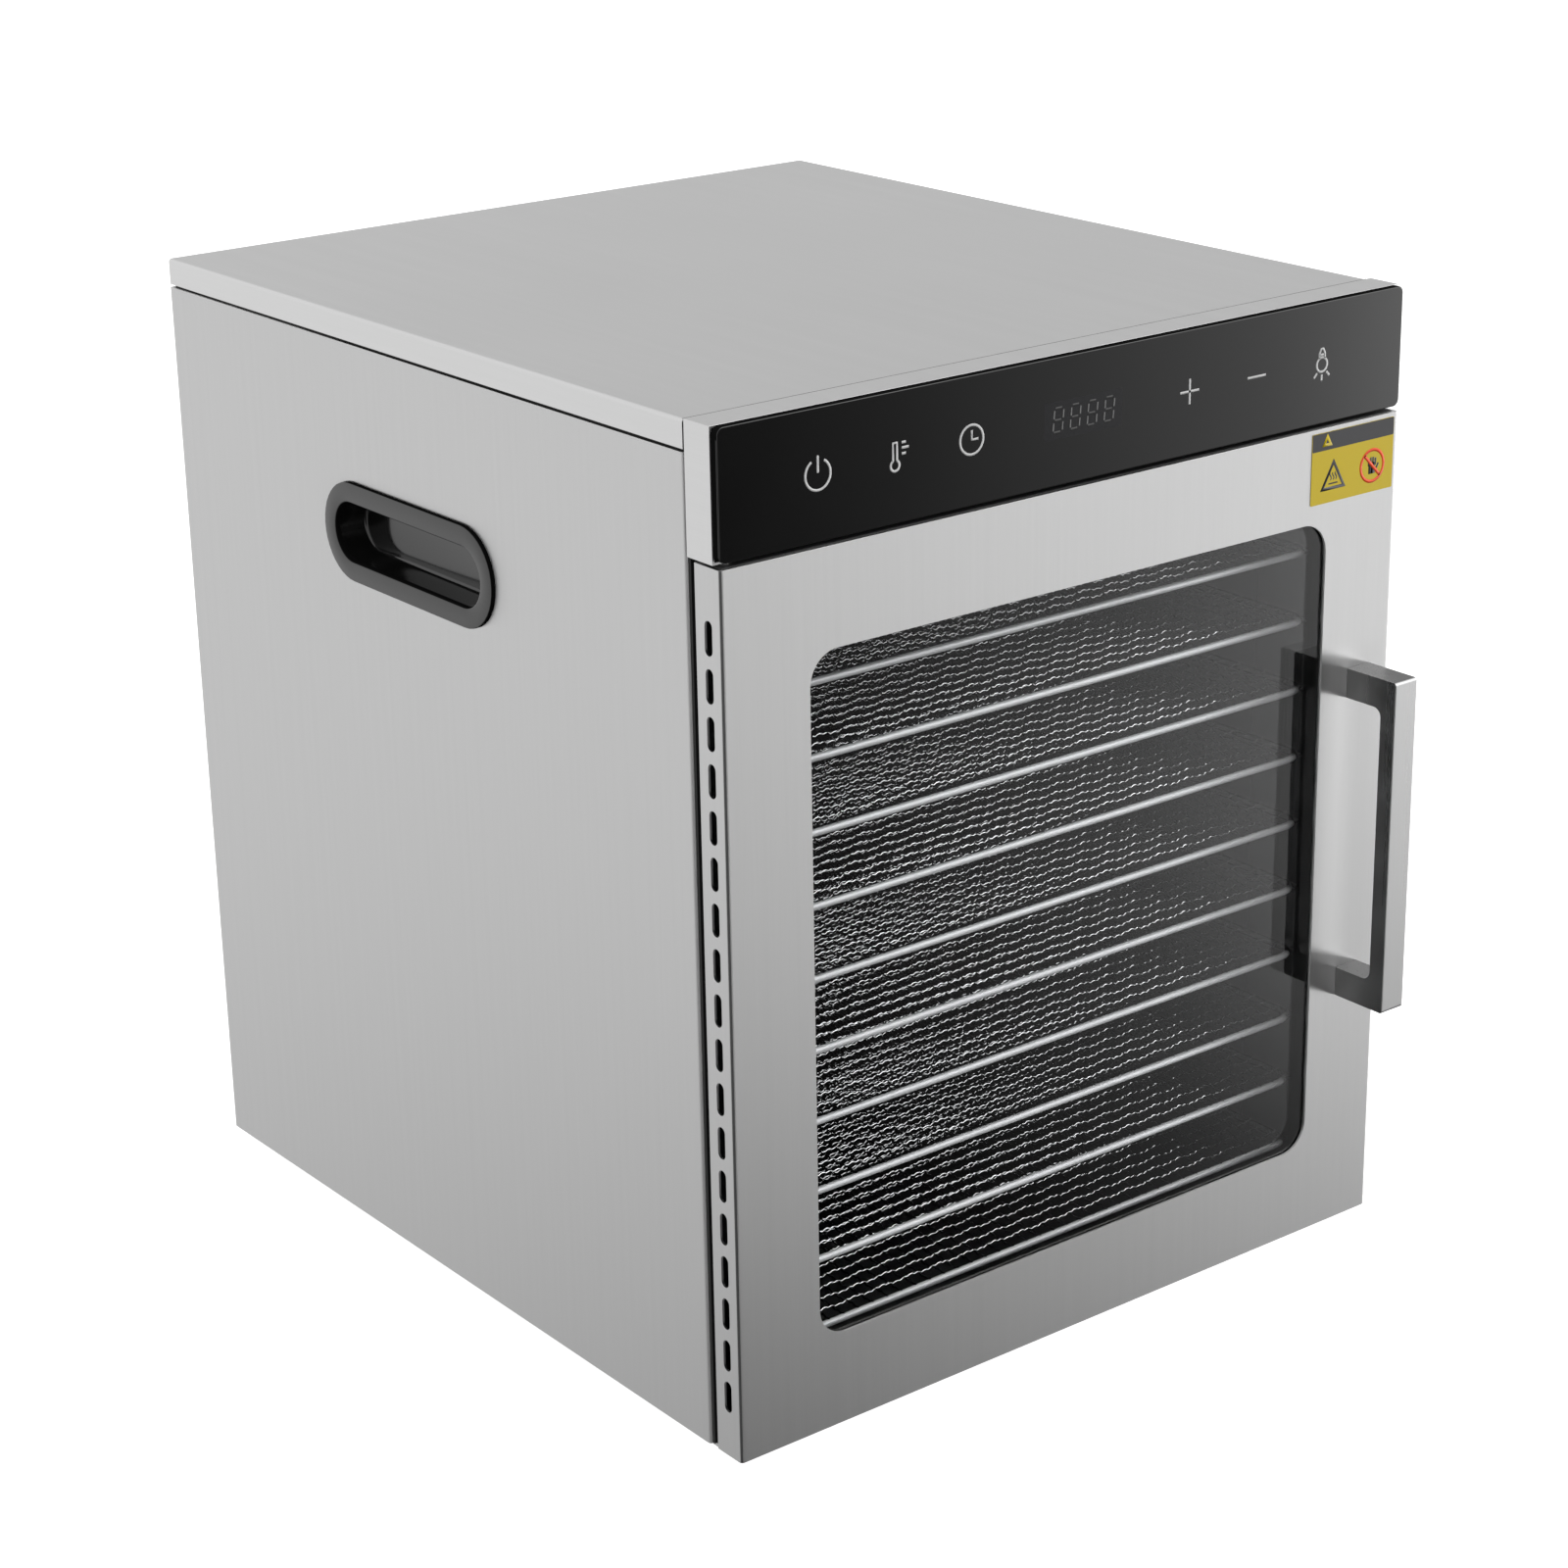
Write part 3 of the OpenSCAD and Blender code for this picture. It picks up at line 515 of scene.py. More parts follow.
def eased(name, nodeName, radius, material=None, segments=2, sharp=40):
    # a copy of a sheet or moulding with its sharp edges broken
    cage = mergedCage(nodeName)
    bmesh.ops.dissolve_limit(cage, angle_limit=math.radians(0.5), verts=cage.verts, edges=cage.edges)
    piece = newPiece(name, meshFrom(cage, name), material or finish[slotOf[nodeName]])
    bevel = piece.modifiers.new("edge", "BEVEL")
    bevel.width = radius * mm
    bevel.segments = segments
    bevel.limit_method = "ANGLE"
    bevel.angle_limit = math.radians(edge["angle"])
    bevel.miter_outer = "MITER_ARC"
    smooth(piece.data, sharp)
    weighted = piece.modifiers.new("flat", "WEIGHTED_NORMAL")     # keeps large faces flat beside small edges
    weighted.mode = "FACE_AREA"
    weighted.weight = 100
    weighted.keep_sharp = True
    return attach(applied(piece), bodyOf[nodeName], nodeName)


# geometry node helpers
class Recipe(Net):                            # a geometry node tree with named inputs
    def __init__(self, name, inputs):
        self.tree = bpy.data.node_groups.new(name, "GeometryNodeTree")
        super().__init__(self.tree)
        self.keys = {}
        self.socket("Geometry", "NodeSocketGeometry", "OUTPUT")
        self.socket("Geometry", "NodeSocketGeometry")
        for title, value in inputs.items():
            kinds = {int: "NodeSocketInt", float: "NodeSocketFloat"}
            self.keys[title] = self.socket(title, kinds.get(type(value), "NodeSocketMaterial"))
        self.entry = self.nodes.new("NodeGroupInput")

    def socket(self, title, kind, side="INPUT"):
        return self.tree.interface.new_socket(title, in_out=side, socket_type=kind).identifier

    def given(self, title):
        return Wire(self, pick(self.entry.outputs, self.keys.get(title, title)))

    def xyz(self, x=0.0, y=0.0, z=0.0):
        return self.add("ShaderNodeCombineXYZ", None, {"X": x, "Y": y, "Z": z})

    def store(self, geometry, name, value):
        return self.add("GeometryNodeStoreNamedAttribute", {"data_type": "FLOAT", "domain": "POINT"}, {
            "Geometry": geometry, "Name": name, "Value": value})

    def round(self, diameter, sides):         # the profile of a wire or rod
        return self.add("GeometryNodeCurvePrimitiveCircle", None, {
            "Resolution": sides, "Radius": diameter / 2.0})

    def join(self, *parts):
        node = self.nodes.new("GeometryNodeJoinGeometry")
        for part in reversed(parts):
            self.links.new(part.socket, node.inputs[0])
        return Wire(self, node.outputs[0])

    def close(self, geometry):                # ends in Realize Instances and Set Material
        real = self.add("GeometryNodeRealizeInstances", None, {0: geometry})
        shaded = self.add("GeometryNodeSetMaterial", None, {
            "Geometry": real, "Material": self.given("Material")})
        self.add("NodeGroupOutput", None, {0: shaded})

    def make(self, name, values, seedMesh=None):
        piece = bpy.data.objects.new(name, seedMesh or bpy.data.meshes.new(name))
        bpy.context.scene.collection.objects.link(piece)
        modifier = piece.modifiers.new("recipe", "NODES")
        modifier.node_group = self.tree
        for title, value in values.items():
            modifier[self.keys[title]] = value
        return applied(piece)


# woven trays
tray = {
    "rod": 3.0,            # mm, frame rod
    "corner": 8.0,
    "pitch": 7.5,          # between wires, both ways
    "wire": 0.78,
    "wave": 0.42,          # over and under a crossing
    "crimp": 0.42,         # small humps between crossings
    "crimpsPerPitch": 2,
    "sitsAbove": 1.45,     # weave's middle above the rods' middle
    "firstWire": 8.0,      # first cross wire behind the front rod
}


def wovenTray():
    recipe = Recipe("wovenTray", {
        "Width": 0.3, "Length": 0.32, "Front": 0.0, "Height": 0.0, "Rod": 0.003, "Corner": 0.008,
        "Pitch": 0.0075, "Wire": 0.0009, "Wave": 0.0004, "Crimp": 0.0004, "Crimps": 2, "Rise": 0.0014,
        "First": 0.008, "Across wires": 40, "Along wires": 40, "Across samples": 200,
        "Along samples": 200, "Material": None})
    g = recipe.given

    def strands(count, start, step, ends, samples, axis, flip):
        # one straight wire on each point of a line, then waved by its place and row
        line = recipe.add("GeometryNodeCurvePrimitiveLine", None, {"Start": ends[0], "End": ends[1]})
        line = recipe.add("GeometryNodeResampleCurve", None, {"Curve": line, "Count": samples})
        row = recipe.add("GeometryNodeMeshLine", None, {
            "Count": count, "Start Location": start, "Offset": step})
        row = recipe.store(row, "row", recipe.add("GeometryNodeInputIndex"))
        wires = recipe.add("GeometryNodeInstanceOnPoints", None, {"Points": row, "Instance": line})
        wires = recipe.add("GeometryNodeRealizeInstances", None, {0: wires})
        place = recipe.add("GeometryNodeInputPosition")
        along = recipe.add("ShaderNodeSeparateXYZ", None, {0: place}, axis)
        number = recipe.add("GeometryNodeInputNamedAttribute", {"data_type": "FLOAT"}, {"Name": "row"})
        if axis == 1:                         # counted from the first cross wire and the middle row
            along = along - (g("Front") + g("First"))
            number = number - (g("Along wires") - 1.0) / 2.0
        turns = along / g("Pitch")
        wave = recipe.maths("COSINE", (turns + number) * math.pi) * g("Wave")
        if flip:
            wave = wave * -1.0
        crimp = recipe.maths("COSINE", turns * (g("Crimps") * (2 * math.pi))) * g("Crimp")
        wires = recipe.add("GeometryNodeSetPosition", None, {
            "Geometry": wires, "Offset": recipe.xyz(z=wave + crimp)})
        wires = recipe.add("GeometryNodeCurveToMesh", None, {
            "Curve": wires, "Profile Curve": recipe.round(g("Wire"), 4), "Fill Caps": True})
        # the along wires are marked for painted shade
        return recipe.store(wires, "dull", 1.0 if flip else 0.0)

    half = g("Width") / 2.0
    level = g("Height") + g("Rise")
    across = strands(
        g("Across wires"), recipe.xyz(0.0, g("Front") + g("First"), level), recipe.xyz(y=g("Pitch")),
        (recipe.xyz(x=half * -1.0), recipe.xyz(x=half)), g("Across samples"), 0, False)
    firstAlong = (g("Along wires") - 1.0) * g("Pitch") * -0.5
    along = strands(
        g("Along wires"), recipe.xyz(firstAlong, 0.0, level), recipe.xyz(x=g("Pitch")),
        (recipe.xyz(y=g("Front")), recipe.xyz(y=g("Front") + g("Length"))), g("Along samples"), 1, True)
    outline = recipe.add("GeometryNodeCurvePrimitiveQuadrilateral", {"mode": "RECTANGLE"}, {
        "Width": g("Width"), "Height": g("Length")})
    outline = recipe.add("GeometryNodeFilletCurve", {"mode": "POLY"}, {
        "Curve": outline, "Count": 6, "Radius": g("Corner"), "Limit Radius": True})
    outline = recipe.add("GeometryNodeTransform", None, {
        "Geometry": outline, "Translation": recipe.xyz(0.0, g("Front") + g("Length") / 2.0, g("Height"))})
    depth = recipe.add("ShaderNodeSeparateXYZ", None, {0: recipe.add("GeometryNodeInputPosition")}, 1)
    inFront = recipe.add("ShaderNodeMapRange", None, {
        "Value": depth - g("Front"), "From Min": 0.0002, "From Max": 0.002, "To Min": 1.0, "To Max": 0.0})
    outline = recipe.store(outline, "rod", inFront)
    # the side and back rods are marked for painted shade
    outline = recipe.store(outline, "dull", 1.0 - inFront)
    rods = recipe.add("GeometryNodeCurveToMesh", None, {
        "Curve": outline, "Profile Curve": recipe.round(g("Rod"), 12)})
    recipe.close(recipe.add("GeometryNodeSetShadeSmooth", None, {
        "Geometry": recipe.join(across, along, rods), "Shade Smooth": True}))

    low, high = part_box("tray_01")
    rod = tray["rod"] * mm
    width, length = high.x - low.x - rod, high.y - low.y - rod
    pitch, first = tray["pitch"] * mm, tray["firstWire"] * mm
    alongCount = int(width / pitch) - int(width / pitch) % 2      # even, so no wire runs down the middle
    return recipe.make("weave", {
        "Width": width, "Length": length, "Front": low.y + rod / 2, "Height": low.z + rod / 2,
        "Rod": rod, "Corner": tray["corner"] * mm, "Pitch": pitch, "Wire": tray["wire"] * mm,
        "Wave": tray["wave"] * mm, "Crimp": tray["crimp"] * mm, "Crimps": tray["crimpsPerPitch"],
        "Rise": tray["sitsAbove"] * mm, "First": first,
        "Across wires": int((length - first) / pitch) + 1, "Along wires": alongCount,
        "Across samples": int(width / pitch * tray["crimpsPerPitch"] * 3) + 1,
        "Along samples": int(length / pitch * tray["crimpsPerPitch"] * 2) + 1,
        "Material": finish["wire"]})


def makeTrays():
    first = wovenTray()
    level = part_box("tray_01")[0].z
    for number in range(1, 11):
        nodeName = f"tray_{number:02d}"
        mesh = first.data.copy()
        mesh.transform(Matrix.Translation((0, 0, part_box(nodeName)[0].z - level)))
        attach(newPiece(f"woven_tray_{number:02d}", mesh, finish["wire"]), bodyOf[nodeName], nodeName)
    bpy.data.objects.remove(first)
    return len(mesh.polygons)


print("trays woven:", makeTrays(), "faces each")


# sheet metal and glass
edge = {
    "sheet": 0.25, "housing": 0.35, "handle": 1.1, "glass": 0.45, "pane": 0.3, "cover": 0.4,    # mm
    "angle": 32,           # degrees, turns sharper than this are eased
    "hollowInset": 0.6,    # mm from the door's outside, where its hollow begins
    "bendFrom": 0.35, "bendTo": 0.9,                     # sideways share of the normal on a front bend
    "bendZone": 2.0,       # mm behind the door's front
    "bendShade": 0.8, "levelShade": 0.7,                 # how much shade is painted
}


def markPaintedShade(piece, rule):
    # tells the finish how much shade is painted on each face
    values = [rule(face.center, face.normal) for face in piece.data.polygons]
    piece.data.attributes.new("unbrushed", "FLOAT", "FACE").data.foreach_set("value", values)


doorLow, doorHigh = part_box("door_panel")


def doorShadeRule(centre, normal):                 # painted shade in the door's hollow and on the sharp turn of its front bends
    inset = edge["hollowInset"] * mm
    if all(doorLow[i] + inset < centre[i] < doorHigh[i] - inset for i in range(3)):
        return 1.0
    atFront = centre.y < doorLow.y + edge["bendZone"] * mm and normal.y < 0 and abs(normal.z) < 0.3
    return edge["bendShade"] if atFront and edge["bendFrom"] < abs(normal.x) < edge["bendTo"] else 0.0


def barShadeRule(centre, normal):                  # painted shade on the bar's level faces
    return edge["levelShade"] if abs(normal.z) > 0.95 else 0.0


def strip(name, low, high, body, slotName, material):
    # a bar between two corners, in metres, with its edges broken
    cage = bmesh.new()
    bmesh.ops.create_cube(cage, size=1)
    for vert in cage.verts:
        vert.co = [low[i] + (vert.co[i] + 0.5) * (high[i] - low[i]) for i in range(3)]
    size = min(high[i] - low[i] for i in range(3))
    bmesh.ops.bevel(cage, geom=list(cage.edges), offset=size * 0.25, segments=1, affect="EDGES")
    attach(newPiece(name, meshFrom(cage, name), material), body, slotName=slotName)


eased("top_cover_sheet", "top_cover", edge["sheet"], finish["stainlessFlat"])
eased("left_side_sheet", "left_side_panel", edge["sheet"])
eased("right_side_sheet", "right_side_panel", edge["sheet"])
eased("rear_sheet", "rear_panel", edge["sheet"])
eased("louvred_cover", "rear_cover", edge["cover"])
eased("control_channel", "control_housing", edge["housing"], finish["stainlessFlat"])
eased("control_pane", "control_glass", edge["glass"], segments=3)
markPaintedShade(eased("door_skin", "door_panel", edge["sheet"]), doorShadeRule)
barHandle = eased("bar_handle", "door_handle", edge["handle"], finish["stainlessBar"], segments=4, sharp=50)
markPaintedShade(barHandle, barShadeRule)
eased("window_pane", "door_glass", edge["pane"])
eased("inlet_socket", "mains_inlet", edge["cover"])


gapShadeStrips = {                  # mm, a near-black strip painted as the shadow of the gap before the top cover, and a silicone strip on the door's upper edge that paints the shade of the gap above the door
    "wide": 0.35, "proud": 0.04, "side": 0.4, "sunk": 0.1,
    "shadeStripInset": 1.6, "shadeStripThick": 0.3, "shadeStripDepth": 10.0, "shadeStripSide": 2.0,
}
coverLow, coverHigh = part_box("top_cover")
coverShadowLow = (coverLow.x + gapShadeStrips["side"] * mm, coverLow.y, coverHigh.z - gapShadeStrips["sunk"] * mm)
coverShadowHigh = (coverHigh.x - gapShadeStrips["side"] * mm, coverLow.y + gapShadeStrips["wide"] * mm,
             coverHigh.z + gapShadeStrips["proud"] * mm)
# painted shadow: a near-black strip along the top cover's front edge stands for the shade of the gap
strip("cover_joint_line", coverShadowLow, coverShadowHigh, "cabinet", "frame_steel", finish["frame_steel"])
# painted shade: a black silicone strip on the door's upper edge darkens the gap under the control housing
shadeStripFront = doorLow.y + gapShadeStrips["shadeStripInset"] * mm
shadeStripLow = (doorLow.x + gapShadeStrips["shadeStripSide"] * mm, shadeStripFront, doorHigh.z - gapShadeStrips["sunk"] * mm)
shadeStripHigh = (doorHigh.x - gapShadeStrips["shadeStripSide"] * mm, shadeStripFront + gapShadeStrips["shadeStripDepth"] * mm,
            doorHigh.z + gapShadeStrips["shadeStripThick"] * mm)
strip("door_stop_strip", shadeStripLow, shadeStripHigh, "door", "silicone", finish["silicone"])
print("sheets and glass eased")


# carrying handles
grip = {
    "length": 124.0, "height": 41.6, "proud": 2.0, "rim": 0.28,    # bezel
    "openLength": 107.0, "lip": 1.0,                               # finger opening
    "depth": 12.4, "wall": 1.6, "fillet": 1.6, "draft": 0.5,       # cup
    "neck": 6.3,           # how far the part behind the panel is set in from the bezel
    "sides": 20,
}


def stadiumRing(length, height, sides):
    # points of a stadium round its middle, as (along, up)
    radius, reach = height / 2, (length - height) / 2
    ring = []
    for end in (1, -1):
        for i in range(sides + 1):
            turn = math.pi * i / sides - math.pi / 2
            ring.append((end * (reach + radius * math.cos(turn)), end * radius * math.sin(turn)))
    return ring


def gripProfile():
    # steps of (change of size, depth behind the panel), from the back round to the cup's floor
    g = grip
    inset = (g["length"] - g["openLength"]) / 2
    steps = [(-g["neck"], g["depth"] + g["wall"]), (-g["neck"], 0.0), (0.0, 0.0)]
    quarter = [math.pi / 2 * i / 4 for i in range(5)]
    for t in quarter:                         # outer edge of the bezel
        steps.append((-g["rim"] * (1 - math.cos(t)), -g["proud"] + g["rim"] * (1 - math.sin(t))))
    for t in quarter:                         # rounded lip of the opening
        steps.append((-inset + g["lip"] * (1 - math.sin(t)), -g["proud"] + g["lip"] * (1 - math.cos(t))))
    for t in quarter:                         # fillet at the cup's floor
        steps.append((-inset - g["draft"] - g["fillet"] * (1 - math.cos(t)),
                      g["depth"] - g["fillet"] * (1 - math.sin(t))))
    return steps


def makeGrip(nodeName, name, side):
    low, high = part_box(nodeName)
    centre = (low + high) / 2
    sheetX = (low.x + grip["proud"] * mm) if side < 0 else (high.x - grip["proud"] * mm)
    cage = bmesh.new()
    rings = []
    for change, depth in gripProfile():
        ring = stadiumRing(grip["length"] + 2 * change, grip["height"] + 2 * change, grip["sides"])
        rings.append([cage.verts.new((sheetX - side * depth * mm, centre.y + a * mm, centre.z + u * mm))
                      for a, u in ring])
    for first, second in zip(rings, rings[1:]):
        count = len(first)
        for i in range(count):
            cage.faces.new((first[i], first[(i + 1) % count], second[(i + 1) % count], second[i]))
    cage.faces.new(rings[0])
    cage.faces.new(rings[-1])
    bmesh.ops.recalc_face_normals(cage, faces=cage.faces)
    piece = newPiece(name, meshFrom(cage, name), finish["gripPlastic"])
    smooth(piece.data, 35)
    attach(piece, bodyOf[nodeName], nodeName)


makeGrip("carry_handle_left", "finger_cup_left", -1)
makeGrip("carry_handle_right", "finger_cup_right", 1)
print("carrying handles made")


# printing on the panel
def strokeRecipe():
    # sweeps a thin flat strip along every edge of a flat drawing
    recipe = Recipe("strokes", {"Stroke": 0.001, "Thickness": 0.00005, "Material": None})
    paths = recipe.add("GeometryNodeMeshToCurve", None, {"Mesh": recipe.given("Geometry")})
    paths = recipe.add("GeometryNodeSetCurveNormal", {"mode": "Z_UP"}, {"Curve": paths})
    ribbon = recipe.add("GeometryNodeCurvePrimitiveQuadrilateral", {"mode": "RECTANGLE"}, {
        "Width": recipe.given("Stroke"), "Height": recipe.given("Thickness")})
    recipe.close(recipe.add("GeometryNodeCurveToMesh", None, {
        "Curve": paths, "Profile Curve": ribbon, "Fill Caps": True}))
    return recipe


def arc(x, z, radius, first=0.0, last=360.0, sides=32):
    # points of an arc, degrees anticlockwise from +X
    count = max(3, round(sides * abs(last - first) / 360))
    turns = [math.radians(first + (last - first) * i / count) for i in range(count + 1)]
    return [(x + radius * math.cos(t), z + radius * math.sin(t)) for t in turns]


def powerSymbol():
    return [arc(0, -0.3, 5.75, 120, 420), [(0, 0.4), (0, 6.7)]]


def thermometerSymbol():
    tube = [(0.95, -1.6), (0.95, 5.1), (-0.95, 5.1), (-0.95, -1.6)]
    bulb = arc(0, -3.4, 2.05, 118, 422, 24)
    ticks = [[(3.2, z), (end, z)] for z, end in ((4.8, 5.1), (2.8, 6.5), (0.6, 5.1))]
    return [tube, bulb] + ticks


def clockSymbol():
    return [arc(0, 0, 5.6), [(0, 3.6), (0, 0), (3.2, 0)]]


def plusSymbol():
    return [[(-5, 0), (5, 0)], [(0, -5), (0, 5)]]


def minusSymbol():
    return [[(-5, 0), (5, 0)]]


def bulbSymbol():
    glass = arc(0, -1.0, 2.9)
    neck = [(-1.5, 1.5), (-1.5, 3.6), (-0.6, 5.4), (0.6, 5.4), (1.5, 3.6), (1.5, 1.5)]
    rays = [[(0, -5.0), (0, -7.4)], [(-2.6, -4.1), (-4.3, -5.9)], [(2.6, -4.1), (4.3, -5.9)]]
    return [glass, neck, [(-1.5, 3.0), (1.5, 3.0)]] + rays


panelPrint = {
    "up": 25.2,            # mm above the glass's lower edge
    "stroke": 0.98, "thickness": 0.04,
    "symbols": {powerSymbol: -128.0, thermometerSymbol: -92.5, clockSymbol: -56.0,
                plusSymbol: 54.5, minusSymbol: 90.7, bulbSymbol: 127.0},
}
strokes = strokeRecipe()


def drawing(name, paths):
    mesh = bpy.data.meshes.new(name)
    points, edges = [], []
    for path in paths:
        closed = (Vector(path[0]) - Vector(path[-1])).length < 1e-6
        base = len(points)
        body = path[:-1] if closed else path
        points += [(x * mm, z * mm, 0) for x, z in body]
        edges += [(base + i, base + i + 1) for i in range(len(body) - 1)]
        if closed:
            edges.append((base + len(body) - 1, base))
    mesh.from_pydata(points, edges, [])
    return mesh


def printed(name, paths, front, stroke, thickness, material, body, slotName):
    # strokes drawn flat as (across, up), stood upright against a face at y = front
    piece = strokes.make(name, {
        "Stroke": stroke * mm, "Thickness": thickness * mm, "Material": material}, drawing(name, paths))
    upright = Matrix.Rotation(math.pi / 2, 4, "X")
    piece.data.transform(Matrix.Translation((0, front - thickness * mm / 2, 0)) @ upright)
    attach(piece, body, slotName=slotName)


def moved(paths, x, z):
    return [[(x + a, z + u) for a, u in path] for path in paths]


def printPanel():
    level = paneLow.z / mm + panelPrint["up"]
    paths = []
    for symbol, x in panelPrint["symbols"].items():
        paths += moved(symbol(), x, level)
    printed("panel_symbols", paths, paneLow.y, panelPrint["stroke"], panelPrint["thickness"],
            finish["panelPrint"], "cabinet", "panel_glass")


display = {
    "x0": -20.5, "x1": 19.2, "up0": 18.0, "up1": 32.6, "film": 0.02, "corner": 0.5,
    "digits": 4, "digitPitch": 8.6, "digitWidth": 4.6, "digitHeight": 9.2,
    "lean": 0.09, "stroke": 1.15, "gap": 0.75, "thickness": 0.02,
}


def slab(name, x0, z0, x1, z1, front, thickness, corner, material, body, slotName, *replaced):
    # a thin rounded plate on a face at y = front, in millimetres
    ring = []
    for cx, cz, start in ((x1 - corner, z1 - corner, 0), (x0 + corner, z1 - corner, 90),
                          (x0 + corner, z0 + corner, 180), (x1 - corner, z0 + corner, 270)):
        ring += arc(cx, cz, corner, start, start + 90, 16)
    cage = bmesh.new()
    face = cage.faces.new([cage.verts.new((x * mm, front, z * mm)) for x, z in ring])
    grown = bmesh.ops.extrude_face_region(cage, geom=[face])
    moving = [part for part in grown["geom"] if isinstance(part, bmesh.types.BMVert)]
    bmesh.ops.translate(cage, verts=moving, vec=(0, -thickness * mm, 0))
    bmesh.ops.recalc_face_normals(cage, faces=cage.faces)
    attach(newPiece(name, meshFrom(cage, name), material), body, *replaced, slotName=slotName)


def makeDisplay():
    d = display
    base = paneLow.z / mm
    slab("display_window", d["x0"], base + d["up0"], d["x1"], base + d["up1"], paneLow.y, d["film"],
         d["corner"], finish["displayFilm"], "cabinet", "panel_glass")
    w, h, gap = d["digitWidth"] / 2, d["digitHeight"] / 2, d["gap"]
    middle = base + (d["up0"] + d["up1"]) / 2
    bars = [[(gap - w, level), (w - gap, level)] for level in (h, 0, -h)]
    bars += [[(s * w, u * h - u * gap), (s * w, u * gap)] for s in (-1, 1) for u in (-1, 1)]
    paths = []
    for i in range(d["digits"]):
        x = (d["x0"] + d["x1"]) / 2 + (i - (d["digits"] - 1) / 2) * d["digitPitch"]
        paths += [[(x + a + u * d["lean"], middle + u) for a, u in bar] for bar in bars]
    printed("display_digits", paths, paneLow.y - d["film"] * mm, d["stroke"], d["thickness"],
            finish["digits"], "cabinet", "panel_glass")


printPanel()
makeDisplay()
print("panel printed")


# picture label
label = {                  # mm
    "header": 7.4, "thickness": 0.2, "print": 0.03, "corner": 0.6, "headerCorner": 0.5, "border": 0.1,
    "heatFromLeft": 12.5, "handFromRight": 12.0, "markFromLeft": 8.5,
    "triangleStroke": 2.6, "markStroke": 0.6, "palmStroke": 2.4, "fingerStroke": 1.0,
    "ringStroke": 1.35, "headerStroke": 2.4,
}


def makeLabel():
    # plain pictures without words: heat in a triangle, and a hand under a struck-out ring
    low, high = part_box("safety_label")
    x0, x1, z0, z1 = low.x / mm, high.x / mm, low.z / mm, high.z / mm
    header, border = label["header"], label["border"]
    slab("picture_label", x0, z0, x1, z1, high.y, label["thickness"], label["corner"],
         finish["sticker"], "door", "sticker", "safety_label")
    slab("label_header", x0 + border, z1 - header, x1 - border, z1 - border, low.y, label["print"],
         label["headerCorner"], finish["labelDark"], "door", "sticker")

    def inked(name, paths, x, z, layer, stroke, ink):
        front = low.y - layer * label["print"] * mm
        printed(name, moved(paths, x, z), front, stroke, label["print"], finish[ink], "door", "sticker")

    heatX, handX = x0 + label["heatFromLeft"], x1 - label["handFromRight"]
    middle = z0 + (z1 - z0 - header) / 2
    triangle = [(-6.2, -5.2), (6.2, -5.2), (0, 5.6), (-6.2, -5.2)]
    heat = [[(x + 0.5 * math.sin(i * 1.1), -1.9 + i * 0.62) for i in range(6)] for x in (-1.5, 0.0, 1.5)]
    plate = [(-2.6, -3.3), (2.6, -3.3)]
    palm = [[(-0.9, -3.4), (-0.9, 0.6)], [(0.5, -3.4), (0.5, 1.4)]]
    fingers = [[(-2.0 + 1.3 * i, 0.0), (-2.0 + 1.3 * i, 3.0 + 0.5 * (i in (1, 2)))] for i in range(4)]
    thumb = [(2.0, -2.0), (3.6, 0.6)]
    struck = [arc(0, 0, 6.6), [(-4.6, 4.6), (4.6, -4.6)]]
    smallTriangle = [(-1.9, -1.5), (1.9, -1.5), (0, 1.9), (-1.9, -1.5)]
    inked("label_triangle", [triangle], heatX, middle, 0, label["triangleStroke"], "labelDark")
    inked("label_marks", heat + [plate], heatX, middle, 0, label["markStroke"], "labelDark")
    inked("label_palm", palm, handX, middle, 0, label["palmStroke"], "labelDark")
    inked("label_fingers", fingers + [thumb], handX, middle, 0, label["fingerStroke"], "labelDark")
    inked("label_ring", struck, handX, middle, 1, label["ringStroke"], "labelRed")
    inked("label_header_mark", [smallTriangle], x0 + label["markFromLeft"], z1 - header / 2, 1,
          label["headerStroke"], "sticker")


makeLabel()
print("label made")


# screws
screw = {
    "sides": 20,
    "taper": 0.78, "recess": 0.62, "slotWidth": 0.26, "slotDepth": 0.6,    # shares of the head
    "bigRadius": 3.2,      # mm, heads wider than this are big ones
    "bigHead": 2.0, "smallHead": 1.4, "shortHead": 1.2,
    "bigShank": 1.9, "smallShank": 1.5,
    "short": 7.0,          # mm, shorter upright screws have the short head
}


def looseParts(nodeName):
    # lowest and highest corner of each separate screw
    cage = mergedCage(nodeName)
    waiting, parts = set(cage.verts), []
    while waiting:
        todo, part = [waiting.pop()], []
        while todo:
            vert = todo.pop()
            part.append(vert.co.copy())
            for edgeOf in vert.link_edges:
                other = edgeOf.other_vert(vert)
                if other in waiting:
                    waiting.remove(other)
                    todo.append(other)
        parts.append((Vector(map(min, *part)), Vector(map(max, *part))))
    cage.free()
    return sorted(parts, key=lambda p: tuple(round(c, 5) for c in p[0]))


